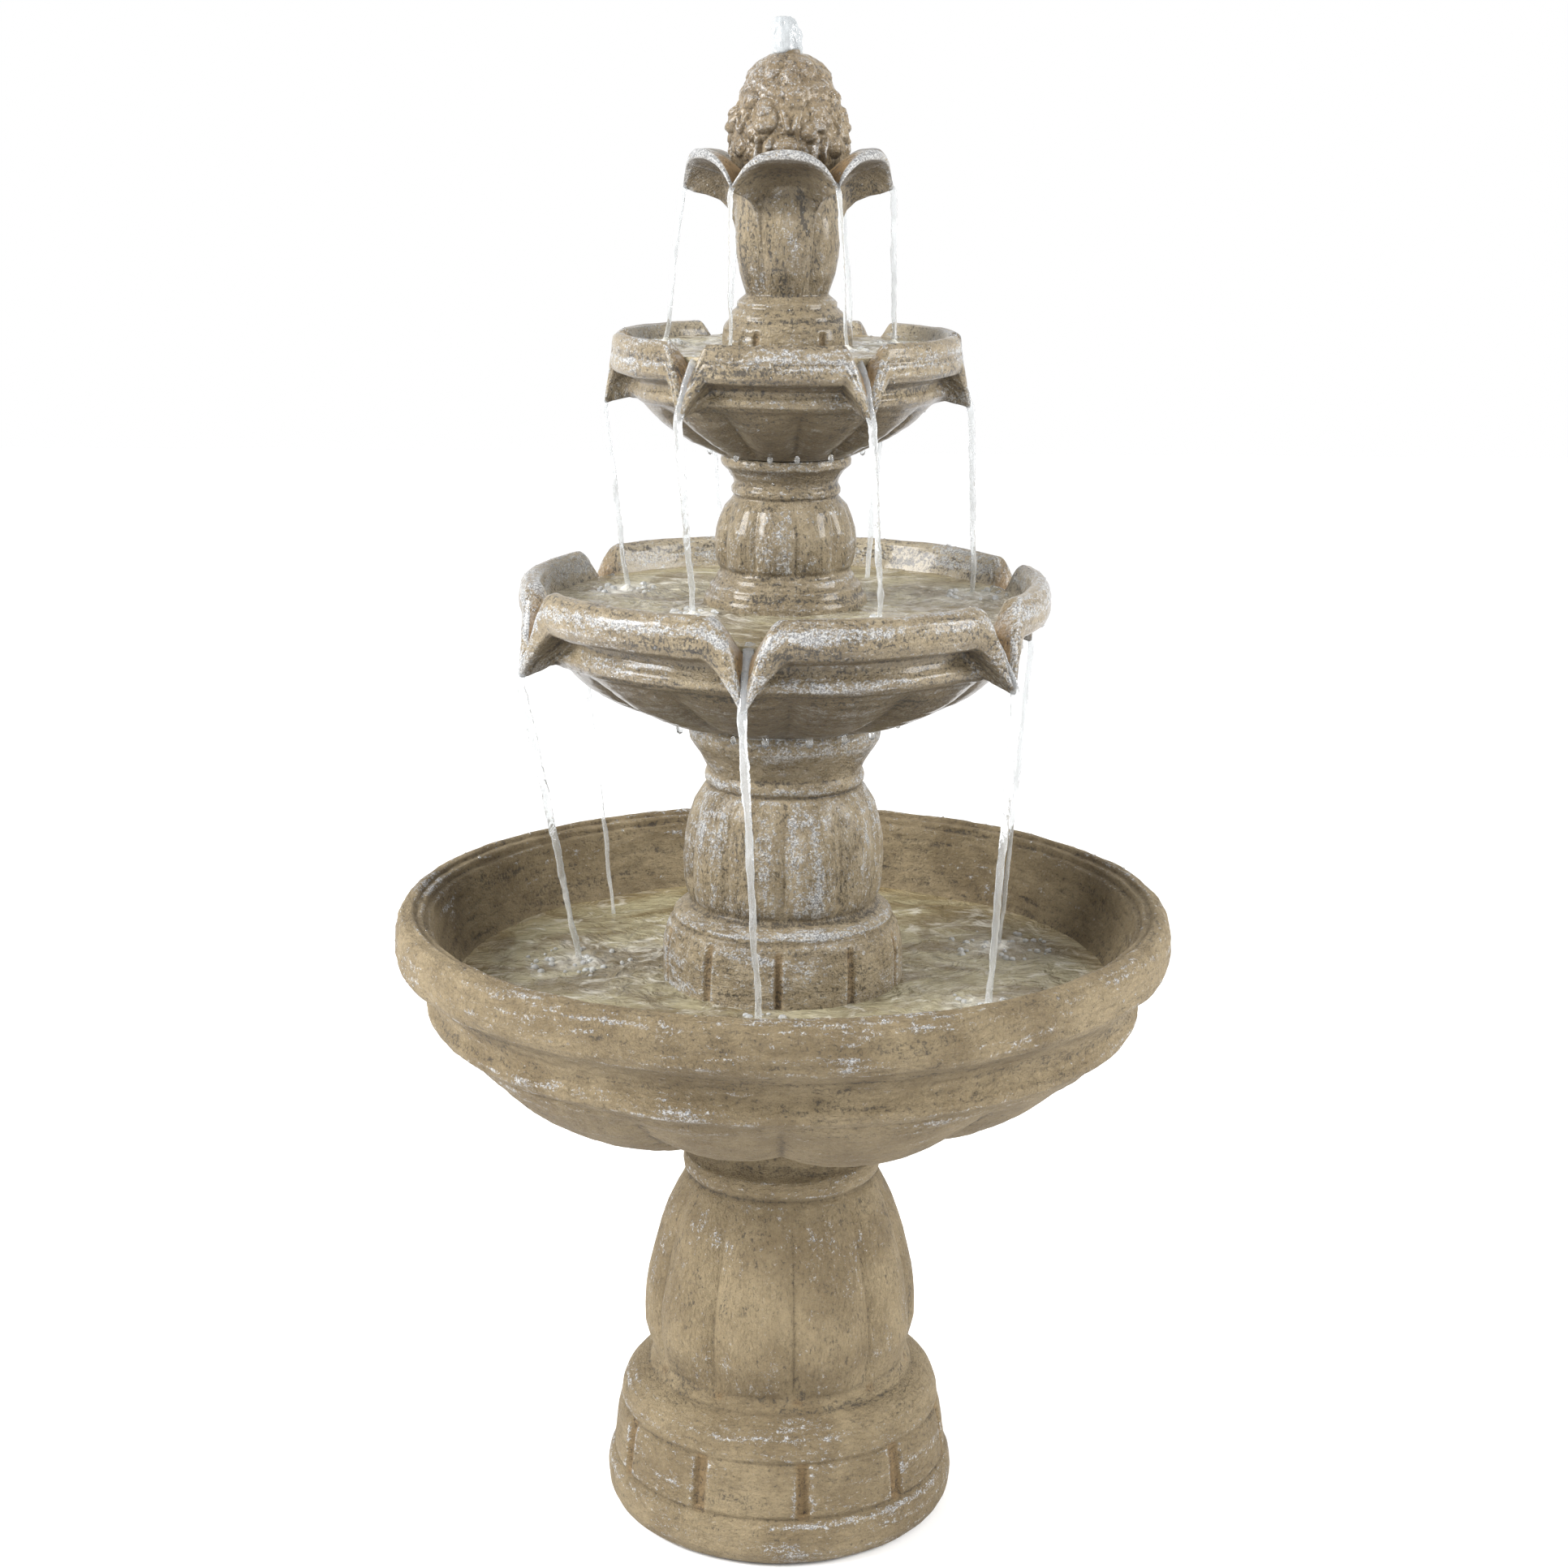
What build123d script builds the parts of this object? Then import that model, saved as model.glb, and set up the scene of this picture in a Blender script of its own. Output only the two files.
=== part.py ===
"""Tiered garden fountain of cast resin stone, about 1.3 m tall, with its pump and plumbing.

A hollow pedestal carries a wide basin. Two hollow columns and a fluted vase stand on each other's
bowls, and a carved fruit finial ends the stack. A pump in the foot of the lower column feeds one
hose that runs up the middle to a nozzle in the finial. Every tier lifts straight off the one below.

Millimetres, +Z up. The origin is on the floor, on the fountain's axis. Angles are in degrees,
counted from the front (-Y) towards +X.
"""

from build123d import *
import math
import os

os.makedirs("parts", exist_ok=True)

# ---------------------------------------------------------------- driving dimensions
PEDESTAL_HEIGHT = 390.0
PLINTH_RADIUS = 161.5  # widest, at the rounded foot moulding
PLINTH_HEIGHT = 132.0
PEDESTAL_BELLY_RADIUS = 127.0
PEDESTAL_NECK_RADIUS = 84.0
PEDESTAL_WALL = 9.0

BASIN_RADIUS = 347.5
BASIN_HEIGHT = 190.0
BASIN_WALL = 10.0
BASIN_FLOOR = 10.0
BASIN_FOOT_RADIUS = 92.0

LOWER_COLUMN_HEIGHT = 348.0
LOWER_FOOT_RADIUS = 108.0
LOWER_FOOT_HEIGHT = 157.0
LOWER_URN_RADIUS = 89.0
LOWER_NECK_RADIUS = 69.0
LOWER_HEAD_RADIUS = 85.0
LOWER_HEAD_HEIGHT = 56.0

MIDDLE_BOWL_RADIUS = 232.0
MIDDLE_BOWL_HEIGHT = 128.0
MIDDLE_BOWL_WALL = 8.0
MIDDLE_BOWL_FLOOR = 9.0
MIDDLE_BEAK_LENGTH = 73.0
MIDDLE_BEAK_WIDTH = 50.0

UPPER_COLUMN_HEIGHT = 224.0
UPPER_FOOT_RADIUS = 72.0
UPPER_FOOT_HEIGHT = 103.0
UPPER_URN_RADIUS = 61.0
UPPER_NECK_RADIUS = 46.0
UPPER_HEAD_RADIUS = 56.0
UPPER_HEAD_HEIGHT = 29.0

UPPER_BOWL_RADIUS = 150.0
UPPER_BOWL_HEIGHT = 105.0
UPPER_BOWL_WALL = 7.0
UPPER_BOWL_FLOOR = 14.0
UPPER_BEAK_LENGTH = 61.0
UPPER_BEAK_WIDTH = 42.0

VASE_HEIGHT = 242.0  # foot to the top of a petal's arch
VASE_FOOT_RADIUS = 56.0
VASE_FOOT_HEIGHT = 98.0
VASE_BELLY_RADIUS = 45.5
VASE_NECK_RADIUS = 36.5
VASE_WALL = 6.0
FLOWER_RADIUS = 88.0  # at the petals' drooping tips
PETAL_ARCH = 31.0  # how far a petal's arch stands above its two tips
PETAL_THICKNESS = 5.0

FINIAL_HEIGHT = 108.0
FINIAL_RADIUS = 48.0
FINIAL_WALL = 12.0
SCALE_RADIUS = 9.5

COLUMN_WALL = 7.0

LOBES = 10  # flutes round the pedestal and the two urns, and blocks round their feet
PETALS = 6  # spouts on each bowl and petals on the flower
BOWL_LOBES = 12
PEDESTAL_LOBE_DEPTH = 7.0
COLUMN_LOBE_DEPTH = 5.0
VASE_LOBE_DEPTH = 4.5
BASIN_LOBE_DEPTH = 10.0
BOWL_LOBE_DEPTH = 6.0

SEAT_DEPTH = 12.0  # how far each locating ring reaches into the piece below
SEAT_CLEARANCE = 1.0  # radial gap round each locating ring
SEAT_WALL = 6.0
CURB_HEIGHT = 8.0  # of the ring on each floor that centres the piece standing on it

HOSE_RADIUS = 8.5
HOSE_BORE_RADIUS = 6.5
HOSE_CLEARANCE = 0.5  # radial gap between the hose and what slides over it
GROMMET_WALL = 5.5
NOZZLE_WALL = 2.0
NOZZLE_SKIRT = 14.0  # how far the nozzle reaches down over the hose
NOZZLE_MOUTH_RADIUS = 5.5

PUMP_WIDTH = 62.0
PUMP_HEIGHT = 58.0
PUMP_MOTOR_LENGTH = 46.0
PUMP_VOLUTE_LENGTH = 26.0
PUMP_COVER_LENGTH = 24.0
PUMP_WALL = 3.0
PUMP_CORNER = 8.0
CHAMBER_RADIUS = 20.0
ROTOR_RADIUS = 10.0
ROTOR_LENGTH = 36.0
SHAFT_RADIUS = 1.6
BUSH_RADIUS = 4.0
BUSH_LENGTH = 4.0
BLADES = 6
RUNNING_CLEARANCE = 0.05
LOOSE_CLEARANCE = 0.4
DIAL_RADIUS = 9.0
DIAL_STEM_RADIUS = 3.0
GLAND_RADIUS = 7.0
CORD_RADIUS = 3.6
CUP_RADIUS = 9.0
CUP_HEIGHT = 9.0
SPIGOT_HEIGHT = 20.0

STOPPER_RADIUS = 12.0
STOPPER_FLANGE = 3.0
CORD_NOTCH_WIDTH = 24.0
CORD_NOTCH_HEIGHT = 20.0

# ---------------------------------------------------------------- heights of the stack
BASIN_Z = PEDESTAL_HEIGHT
BASIN_FLOOR_Z = BASIN_Z + BASIN_FLOOR
MIDDLE_BOWL_Z = BASIN_FLOOR_Z + LOWER_COLUMN_HEIGHT
MIDDLE_FLOOR_Z = MIDDLE_BOWL_Z + MIDDLE_BOWL_FLOOR
UPPER_BOWL_Z = MIDDLE_FLOOR_Z + UPPER_COLUMN_HEIGHT
UPPER_FLOOR_Z = UPPER_BOWL_Z + UPPER_BOWL_FLOOR
FLOWER_TOP_Z = UPPER_FLOOR_Z + VASE_HEIGHT
TIP_Z = FLOWER_TOP_Z - PETAL_ARCH
FINIAL_Z = TIP_Z + PETAL_THICKNESS
TOP_Z = FINIAL_Z + FINIAL_HEIGHT


# ---------------------------------------------------------------- shared shapes
def polar(radius, angle, z):
    """The point at that radius and height, at that angle from the front."""
    turn = math.radians(angle)
    return (radius * math.sin(turn), -radius * math.cos(turn), z)


def turned(outline):
    """The solid of revolution inside an outline of (radius, height) corners, from bottom to top.

    A third number makes the run up to its corner an arc that stands out by so much. A list of
    corners is run through by one smooth curve. The outline closes along the axis.
    """
    start = (0, 0, outline[0][1])
    last = start
    edges = []
    for item in outline:
        if isinstance(item, list):
            points = [(r, 0, z) for r, z in item]
            edges.append(Spline([last, *points]))
            last = points[-1]
            continue
        r, z, *swell = item
        point = (r, 0, z)
        length = math.dist(last, point)
        if length < 1e-6:
            continue
        if swell:
            share = swell[0] / length
            middle = (
                (last[0] + r) / 2 + (z - last[2]) * share,
                0,
                (last[2] + z) / 2 - (r - last[0]) * share,
            )
            edges.append(ThreePointArc(last, middle, point))
        else:
            edges.append(Line(last, point))
        last = point
    end = (0, 0, last[2])
    edges += [Line(last, end), Line(end, start)]
    return revolve(make_face(edges), Axis.Z)


def disc(radius, low, high):
    """A plain upright cylinder between two heights."""
    return Pos(0, 0, low) * Cylinder(
        radius, high - low, align=(Align.CENTER, Align.CENTER, Align.MIN)
    )


def tube(outer, inner, low, high):
    """A plain upright tube between two heights."""
    return disc(outer, low, high) - disc(inner, low - 1, high + 1)


def lobe_ring(crest, depth, z, grooves):
    """A closed line of arcs, one over each lobe, that meet in the grooves. Narrow lobes stand lower."""
    widest = max(end - start for start, end in zip(grooves, grooves[1:]))
    low = crest - depth
    arcs = []
    for start, end in zip(grooves, grooves[1:]):
        top = low + depth * ((end - start) / widest) ** 2
        arcs.append(
            ThreePointArc(polar(low, start, z), polar(top, (start + end) / 2, z), polar(low, end, z))
        )
    return Wire(arcs)


def lobed(stations, grooves):
    """A fluted solid through (crest radius, groove depth, height) stations."""
    return Solid.make_loft([lobe_ring(r, depth, z, grooves) for r, depth, z in stations])


def even_grooves(count, first):
    """Groove angles of count equal lobes, with the first repeated a turn later."""
    return [first + 360 * i / count for i in range(count + 1)]


def uneven_grooves(pairs, first, wide):
    """Groove angles of a wide and a narrow lobe in turn, with the first repeated a turn later."""
    step = 360 / pairs
    angles = []
    for i in range(pairs):
        angles += [first + i * step, first + i * step + wide]
    return [*angles, first + 360]


def block_gaps(count, first, radius, low, high, width, depth):
    """Upright slots round a band, wider at their foot, that leave the raised blocks between them."""
    outline = Polyline(
        [(-0.35 * width, high), (0.35 * width, high), (0.5 * width, low), (-0.5 * width, low)],
        close=True,
    )
    gap = extrude(Plane.XZ * make_face(outline), 2 * depth, both=True)
    return [
        Rot(0, 0, first + 360 * i / count) * Pos(0, -radius - depth, 0) * gap for i in range(count)
    ]


# ---------------------------------------------------------------- pedestal
SEAT_RING_RADIUS = PEDESTAL_NECK_RADIUS - PEDESTAL_WALL - SEAT_CLEARANCE
PEDESTAL_COLLAR_Z = PEDESTAL_HEIGHT - 65.0
PEDESTAL_COLLAR_HEIGHT = 16.0


def make_pedestal():
    """Rounded plinth with a band of blocks, a fluted belly, a collar and a neck. Open below."""
    band = PLINTH_RADIUS - 10.5
    foot_top = 0.35 * PLINTH_HEIGHT
    band_top = 0.74 * PLINTH_HEIGHT
    step = PEDESTAL_BELLY_RADIUS - 5.5
    plinth = turned(
        [
            (PLINTH_RADIUS - 12, 0),
            (PLINTH_RADIUS - 7, 6),
            (PLINTH_RADIUS - 7, foot_top, 7),
            (band, foot_top + 4),
            (band - 3, band_top),
            (band - 6, band_top + 2),
            (step + 5, PLINTH_HEIGHT - 1, 6),
            (step, PLINTH_HEIGHT),
            (step - 4, PLINTH_HEIGHT + 4),
        ]
    )
    for gap in block_gaps(LOBES, 8, band, foot_top + 8, band_top - 2, 13.0, 4.0):
        plinth -= gap
    low = PLINTH_HEIGHT + 3
    rise = PEDESTAL_COLLAR_Z + 2 - low
    shoulder = PEDESTAL_BELLY_RADIUS - PEDESTAL_NECK_RADIUS
    outline = [(0.30, 0.5, 0), (0.08, 1, 0.13), (0, 1, 0.32), (0.14, 1, 0.55), (0.43, 1, 0.78)]
    belly = lobed(
        [
            (PEDESTAL_BELLY_RADIUS - drop * shoulder, PEDESTAL_LOBE_DEPTH * deep, low + rise * up)
            for drop, deep, up in [*outline, (0.85, 0.7, 1)]
        ],
        even_grooves(LOBES, 6),
    )
    collar = PEDESTAL_NECK_RADIUS + 3
    collar_top = PEDESTAL_COLLAR_Z + PEDESTAL_COLLAR_HEIGHT
    neck = turned(
        [
            (PEDESTAL_NECK_RADIUS, low + rise - 2),
            (collar, PEDESTAL_COLLAR_Z),
            (collar, collar_top, 5),
            (PEDESTAL_NECK_RADIUS - 4, collar_top + 8),
            (PEDESTAL_NECK_RADIUS, PEDESTAL_HEIGHT),
        ]
    )
    plinth_bore = PLINTH_RADIUS - 8 - 2 * PEDESTAL_WALL
    belly_bore = PEDESTAL_BELLY_RADIUS - PEDESTAL_LOBE_DEPTH - PEDESTAL_WALL
    neck_bore = SEAT_RING_RADIUS + SEAT_CLEARANCE
    hollow = turned(
        [
            (plinth_bore, -1),
            (plinth_bore, band_top - 6),
            (belly_bore, PLINTH_HEIGHT),
            (belly_bore, low + 0.45 * rise),
            (neck_bore - 4, PEDESTAL_COLLAR_Z - 4),
            (neck_bore, PEDESTAL_COLLAR_Z + PEDESTAL_COLLAR_HEIGHT),
            (neck_bore, PEDESTAL_HEIGHT + 1),
        ]
    )
    notch = Pos(0, PLINTH_RADIUS, 0) * Box(
        CORD_NOTCH_WIDTH, 8 * PEDESTAL_WALL, 2 * CORD_NOTCH_HEIGHT
    )
    return plinth + belly + neck - hollow - notch


# ---------------------------------------------------------------- bowls
def underside(foot, bead, low, high, power_r, power_z, stations=7):
    """(radius, height) points up a bowl's rounded underside, from its foot to its bead."""
    points = []
    for i in range(stations):
        turn = math.pi / 2 * (1 - i / (stations - 1))
        points.append(
            (
                foot + (bead - foot) * math.cos(turn) ** power_r,
                high - (high - low) * math.sin(turn) ** power_z,
            )
        )
    return points


def inset(points, gap):
    """The inner points of a row of points, each moved by gap, square to the row, into the bowl."""
    moved = []
    for before, (r, z), after in zip(points, points[1:], points[2:]):
        length = math.dist(before, after)
        share = gap / length
        moved.append((r - (after[1] - before[1]) * share, z + (after[0] - before[0]) * share))
    return moved


def bowl(low, bead_z, powers, foot, bead, wall, floor_z, flat, depth, grooves, rim, mouth):
    """(body, cavity) of a bowl with a lobed underside, a turned rim and an even wall.

    The floor is flat out to the radius called flat. rim is the outline above the bead, and mouth is
    the cavity's outline above the same height.
    """
    crests = underside(foot, bead, low, bead_z, *powers)
    last = len(crests) - 1
    stations = [
        (r, depth * math.sin(math.pi * (0.12 + 0.76 * i / last)), z)
        for i, (r, z) in enumerate(crests)
    ]
    inner = [(r, z) for r, z in inset(crests, wall + depth) if r > flat and z > floor_z]
    cavity = turned([(flat, floor_z), [*inner, mouth[0]], *mouth[1:]])
    return lobed(stations, grooves) + turned(rim) - cavity, cavity


def seat_rings(seat_bore, low, standing_bore, floor_z):
    """The ring below a bowl that drops into the piece it stands on, and the curb on its floor."""
    seat = seat_bore - SEAT_CLEARANCE
    curb = standing_bore - SEAT_CLEARANCE
    return tube(seat, seat - SEAT_WALL, low - SEAT_DEPTH, low + 1) + tube(
        curb, curb - SEAT_WALL, floor_z - 1, floor_z + CURB_HEIGHT
    )


def make_basin():
    """Wide bowl with a heavy rounded rim, a bead, a lobed underside and a hole for the pump's lead."""
    r = BASIN_RADIUS
    top = BASIN_Z + BASIN_HEIGHT
    bead_z = BASIN_Z + 0.485 * BASIN_HEIGHT
    bead = r - 39
    rim = [
        (bead - 2, bead_z - 1),
        (bead, bead_z + 1),
        (bead + 1, bead_z + 15, 4),
        (bead + 2, bead_z + 17),
        (r - 26, bead_z + 30),
        (r - 16, top - 52),
        (r - 9, top - 50),
        (r - 7, top - 7, 8),
        (r - 13, top),
        (r - 19, top - 1),
        (r - 31, top - 9),
    ]
    mouth = [
        (bead - 2 - BASIN_WALL, bead_z + 10),
        (r - 36, top - 22),
        (r - 33, top - 14),
        (r - 31, top - 9),
        (r - 31, top + 1),
    ]
    body, _ = bowl(
        BASIN_Z,
        bead_z,
        (0.7, 1.7),
        BASIN_FOOT_RADIUS,
        bead - 4,
        BASIN_WALL,
        BASIN_FLOOR_Z,
        LOWER_FOOT_RADIUS + 3,
        BASIN_LOBE_DEPTH,
        uneven_grooves(PETALS, 0, 35),
        rim,
        mouth,
    )
    body += seat_rings(
        SEAT_RING_RADIUS + SEAT_CLEARANCE,
        BASIN_Z,
        LOWER_FOOT_RADIUS - COLUMN_WALL,
        BASIN_FLOOR_Z,
    )
    hole = disc(STOPPER_RADIUS + LOOSE_CLEARANCE, BASIN_Z - 1, BASIN_FLOOR_Z + 1)
    return body - Pos(0, STOPPER_Y, 0) * hole


def spout(radius, rim_z, length, width, wall):
    """(beak, channel) at the front of a bowl: a body that narrows to its tip, and its steep chute."""
    low = rim_z - length
    half = width / 2

    def plan(near, far, across, z):
        """A level rectangle from near to far in front of the axis."""
        corners = [(-across, -near, z), (across, -near, z), (across, -far, z), (-across, -far, z)]
        return Wire(Polyline(corners, close=True).edges())

    beak = Solid.make_loft(
        [
            plan(radius - 30, radius + 1, half, rim_z - 4),
            plan(radius - 14, radius + 3, 0.24 * half, low),
        ],
        ruled=True,
    )
    channel = Solid.make_loft(
        [
            plan(radius - 52, radius + 2 - 0.6 * wall, 0.72 * half, rim_z + 4),
            plan(radius - 2, radius + 8, 0.05 * half, low - 3),
        ],
        ruled=True,
    )
    return beak, channel


def make_spouted_bowl(
    low, height, radius, wall, floor, foot, seat_bore, standing, beak_length, beak_width, first
):
    """Bowl whose rim drops into pouring beaks, with a seating ring below and a hose hole.

    standing is the (radius, wall) of the foot that stands on its floor, and first is the angle of
    one beak.
    """
    top = low + height
    bead_z = low + 0.49 * height
    bead = radius - 0.112 * radius
    lip = 0.45 * beak_length
    floor_z = low + floor
    standing_radius, standing_wall = standing
    rim = [
        (bead - 1, bead_z - 1),
        (bead, bead_z + 1),
        (bead + 2, bead_z + 0.09 * height, 2.5),
        (bead + 2, bead_z + 0.1 * height),
        (radius - 12, top - lip - 2),
        (radius - 3, top - lip),
        (radius - 5, top - 5, 3),
        (radius - 9, top),
        (radius - 15, top),
        (radius - 19, top - 6),
    ]
    mouth = [
        (bead - 2 - wall, bead_z + 0.1 * height),
        (radius - 22, top - 0.2 * height),
        (radius - 19, top - 6),
        (radius - 19, top + 1),
    ]
    body, inside = bowl(
        low,
        bead_z,
        (1.0, 1.35),
        foot,
        bead - 3,
        wall,
        floor_z,
        standing_radius + 2,
        BOWL_LOBE_DEPTH,
        even_grooves(BOWL_LOBES, 1.5),
        rim,
        mouth,
    )
    beak, channel = spout(radius, top, beak_length, beak_width, wall)
    beak -= inside
    for i in range(PETALS):
        turn = Rot(0, 0, first + 360 * i / PETALS)
        body += turn * beak
        body -= turn * channel
    body += seat_rings(seat_bore, low, standing_radius - standing_wall, floor_z)
    return body - disc(GROMMET_RADIUS, low - 1, floor_z + 1)


GROMMET_RADIUS = HOSE_RADIUS + HOSE_CLEARANCE + GROMMET_WALL


def make_middle_bowl():
    """The larger spouted bowl, on the lower column."""
    return make_spouted_bowl(
        MIDDLE_BOWL_Z,
        MIDDLE_BOWL_HEIGHT,
        MIDDLE_BOWL_RADIUS,
        MIDDLE_BOWL_WALL,
        MIDDLE_BOWL_FLOOR,
        LOWER_HEAD_RADIUS + 3,
        LOWER_NECK_RADIUS - COLUMN_WALL,
        (UPPER_FOOT_RADIUS, COLUMN_WALL),
        MIDDLE_BEAK_LENGTH,
        MIDDLE_BEAK_WIDTH,
        -8,
    )


def make_upper_bowl():
    """The smaller spouted bowl, on the upper column."""
    return make_spouted_bowl(
        UPPER_BOWL_Z,
        UPPER_BOWL_HEIGHT,
        UPPER_BOWL_RADIUS,
        UPPER_BOWL_WALL,
        UPPER_BOWL_FLOOR,
        UPPER_HEAD_RADIUS + 3,
        UPPER_NECK_RADIUS - COLUMN_WALL,
        (VASE_FOOT_RADIUS, VASE_WALL),
        UPPER_BEAK_LENGTH,
        UPPER_BEAK_WIDTH,
        26,
    )


# ---------------------------------------------------------------- columns
INLETS = 4
INLET_RADIUS = 9.0


def make_column(low, height, foot, foot_height, urn, neck, head, head_height, first_groove):
    """Hollow column: a stepped foot, a fluted urn, a collar and a flared head. Open at both ends."""
    high = low + height
    foot_top = low + foot_height
    urn_start = 0.9 * urn
    drop = foot - urn_start
    base = turned(
        [
            (foot, low),
            (foot - 1, foot_top - 14),
            (foot - 0.11 * drop, foot_top),
            (foot - 0.2 * drop, foot_top + 6),
            (foot - 0.34 * drop, foot_top + 8),
            (foot - 0.4 * drop, foot_top + 16, 2),
            (foot - 0.72 * drop, foot_top + 21),
            (foot - 0.85 * drop, foot_top + 26),
        ]
    )
    urn_low = foot_top + 24
    head_low = high - head_height
    rise = head_low - urn_low
    stations = [
        (urn_start, 0.4, 0),
        (0.98 * urn, 1, 0.14),
        (urn, 1, 0.38),
        (0.96 * urn, 1, 0.66),
        (0.89 * urn, 0.8, 0.86),
        (neck + 2, 0.3, 1),
    ]
    body = lobed(
        [(r, COLUMN_LOBE_DEPTH * deep, urn_low + rise * up) for r, deep, up in stations],
        even_grooves(LOBES, first_groove),
    )
    cap = turned(
        [
            (neck - 2, head_low - 2),
            (neck, head_low),
            (neck, head_low + 0.2 * head_height, 3),
            (neck - 2, head_low + 0.27 * head_height),
            (neck + 1, head_low + 0.34 * head_height),
            (head, high - 0.2 * head_height, -0.06 * head_height),
            (head, high),
        ]
    )
    bore = neck - COLUMN_WALL
    belly_bore = urn - COLUMN_LOBE_DEPTH - COLUMN_WALL
    hollow = turned(
        [
            (foot - COLUMN_WALL, low - 1),
            (foot - COLUMN_WALL, foot_top - 10),
            (urn_start - COLUMN_LOBE_DEPTH - COLUMN_WALL, foot_top + 20),
            (belly_bore, urn_low + 0.35 * rise),
            (bore, urn_low + 0.85 * rise),
            (bore, high + 1),
        ]
    )
    return base + body + cap - hollow


def make_lower_column():
    """The column over the pump. Blocks ring its foot, and small arches let the basin's water in."""
    column = make_column(
        BASIN_FLOOR_Z,
        LOWER_COLUMN_HEIGHT,
        LOWER_FOOT_RADIUS,
        LOWER_FOOT_HEIGHT,
        LOWER_URN_RADIUS,
        LOWER_NECK_RADIUS,
        LOWER_HEAD_RADIUS,
        LOWER_HEAD_HEIGHT,
        1,
    )
    foot_top = BASIN_FLOOR_Z + LOWER_FOOT_HEIGHT
    for gap in block_gaps(
        LOBES, -2, LOWER_FOOT_RADIUS, BASIN_FLOOR_Z + 2 * INLET_RADIUS + CURB_HEIGHT, foot_top - 1, 8.0, 3.0
    ):
        column -= gap
    arch = Rot(90, 0, 0) * Cylinder(INLET_RADIUS, 6 * COLUMN_WALL)
    for i in range(INLETS):
        turn = Rot(0, 0, 45 + 360 * i / INLETS)
        column -= turn * Pos(0, -LOWER_FOOT_RADIUS, BASIN_FLOOR_Z + CURB_HEIGHT) * arch
    return column


def make_upper_column():
    """The slimmer column between the two spouted bowls."""
    return make_column(
        MIDDLE_FLOOR_Z,
        UPPER_COLUMN_HEIGHT,
        UPPER_FOOT_RADIUS,
        UPPER_FOOT_HEIGHT,
        UPPER_URN_RADIUS,
        UPPER_NECK_RADIUS,
        UPPER_HEAD_RADIUS,
        UPPER_HEAD_HEIGHT,
        8.5,
    )


# ---------------------------------------------------------------- vase and finial
FINIAL_FOOT_RADIUS = 0.82 * FINIAL_RADIUS
FINIAL_BORE_RADIUS = FINIAL_FOOT_RADIUS - FINIAL_WALL + 3


def petal(tip, rise, thickness):
    """Closed line across one petal whose tips are that far out: an arch, and a parallel arch back."""
    half_turn = math.pi / PETALS
    out = tip * math.cos(half_turn)
    half = tip * math.sin(half_turn) + 1
    over = ThreePointArc((-half, -out, TIP_Z), (0, -out, TIP_Z + rise), (half, -out, TIP_Z))
    low = TIP_Z - thickness
    back = ThreePointArc((half, -out, low), (0, -out, low + rise), (-half, -out, low))
    return Wire([over, Line(over @ 1, back @ 0), back, Line(back @ 1, over @ 0)])


def make_top_vase():
    """Fluted vase on a stepped foot, with a flower of arched petals round its mouth."""
    low = UPPER_FLOOR_Z
    foot_top = low + VASE_FOOT_HEIGHT
    foot = VASE_FOOT_RADIUS
    neck_z = foot_top + 26
    drop = foot - VASE_NECK_RADIUS
    body = turned(
        [
            (foot, low),
            (foot - 1, foot_top - 12),
            (foot - 2, foot_top),
            (foot - 0.22 * drop, foot_top + 3),
            (foot - 0.36 * drop, foot_top + 4),
            (foot - 0.55 * drop, foot_top + 13, 2),
            (foot - 0.62 * drop, foot_top + 19),
            (VASE_NECK_RADIUS, neck_z),
        ]
    )
    for gap in block_gaps(PETALS, 32, foot, low + 2 * CURB_HEIGHT, foot_top - 1, 7.0, 2.5):
        body -= gap
    rise = TIP_Z - neck_z
    belly = VASE_BELLY_RADIUS
    stations = [
        (VASE_NECK_RADIUS, 0.3, -0.01),
        ((VASE_NECK_RADIUS + belly) / 2, 0.8, 0.13),
        (belly, 1, 0.45),
        (belly - 1, 1, 0.72),
        (belly - 2, 0.9, 0.9),
        (belly + 4, 0.7, 1),
    ]
    body += lobed(
        [(r, VASE_LOBE_DEPTH * deep, neck_z + rise * up) for r, deep, up in stations],
        even_grooves(PETALS, 30),
    )
    one = Solid.make_loft(
        [
            petal(0.42 * FLOWER_RADIUS, 0.1 * PETAL_ARCH, 2.4 * PETAL_THICKNESS),
            petal(0.7 * FLOWER_RADIUS, 0.62 * PETAL_ARCH, 1.4 * PETAL_THICKNESS),
            petal(FLOWER_RADIUS, PETAL_ARCH, PETAL_THICKNESS),
        ]
    )
    for i in range(PETALS):
        body += Rot(0, 0, 360 * i / PETALS) * one
    body += disc(FINIAL_FOOT_RADIUS + 2, TIP_Z - 2 * PETAL_THICKNESS, FINIAL_Z)
    body -= disc(FINIAL_RADIUS + 3, FINIAL_Z, FLOWER_TOP_Z + 1)
    curb = FINIAL_BORE_RADIUS - SEAT_CLEARANCE
    body += tube(curb, curb - SEAT_WALL, FINIAL_Z - 1, FINIAL_Z + CURB_HEIGHT)
    hose_hole = HOSE_RADIUS + HOSE_CLEARANCE
    bore = VASE_NECK_RADIUS - 2 - VASE_WALL
    belly_bore = belly - VASE_LOBE_DEPTH - VASE_WALL
    ceiling = TIP_Z - 2 * PETAL_THICKNESS
    return body - turned(
        [
            (foot - VASE_WALL, low - 1),
            (foot - VASE_WALL, foot_top - 8),
            (bore, neck_z - 2),
            (bore, neck_z + 4),
            (belly_bore, neck_z + 0.45 * rise),
            (belly_bore, ceiling - 2),
            (hose_hole, ceiling),
            (hose_hole, FINIAL_Z + 1),
        ]
    )


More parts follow.
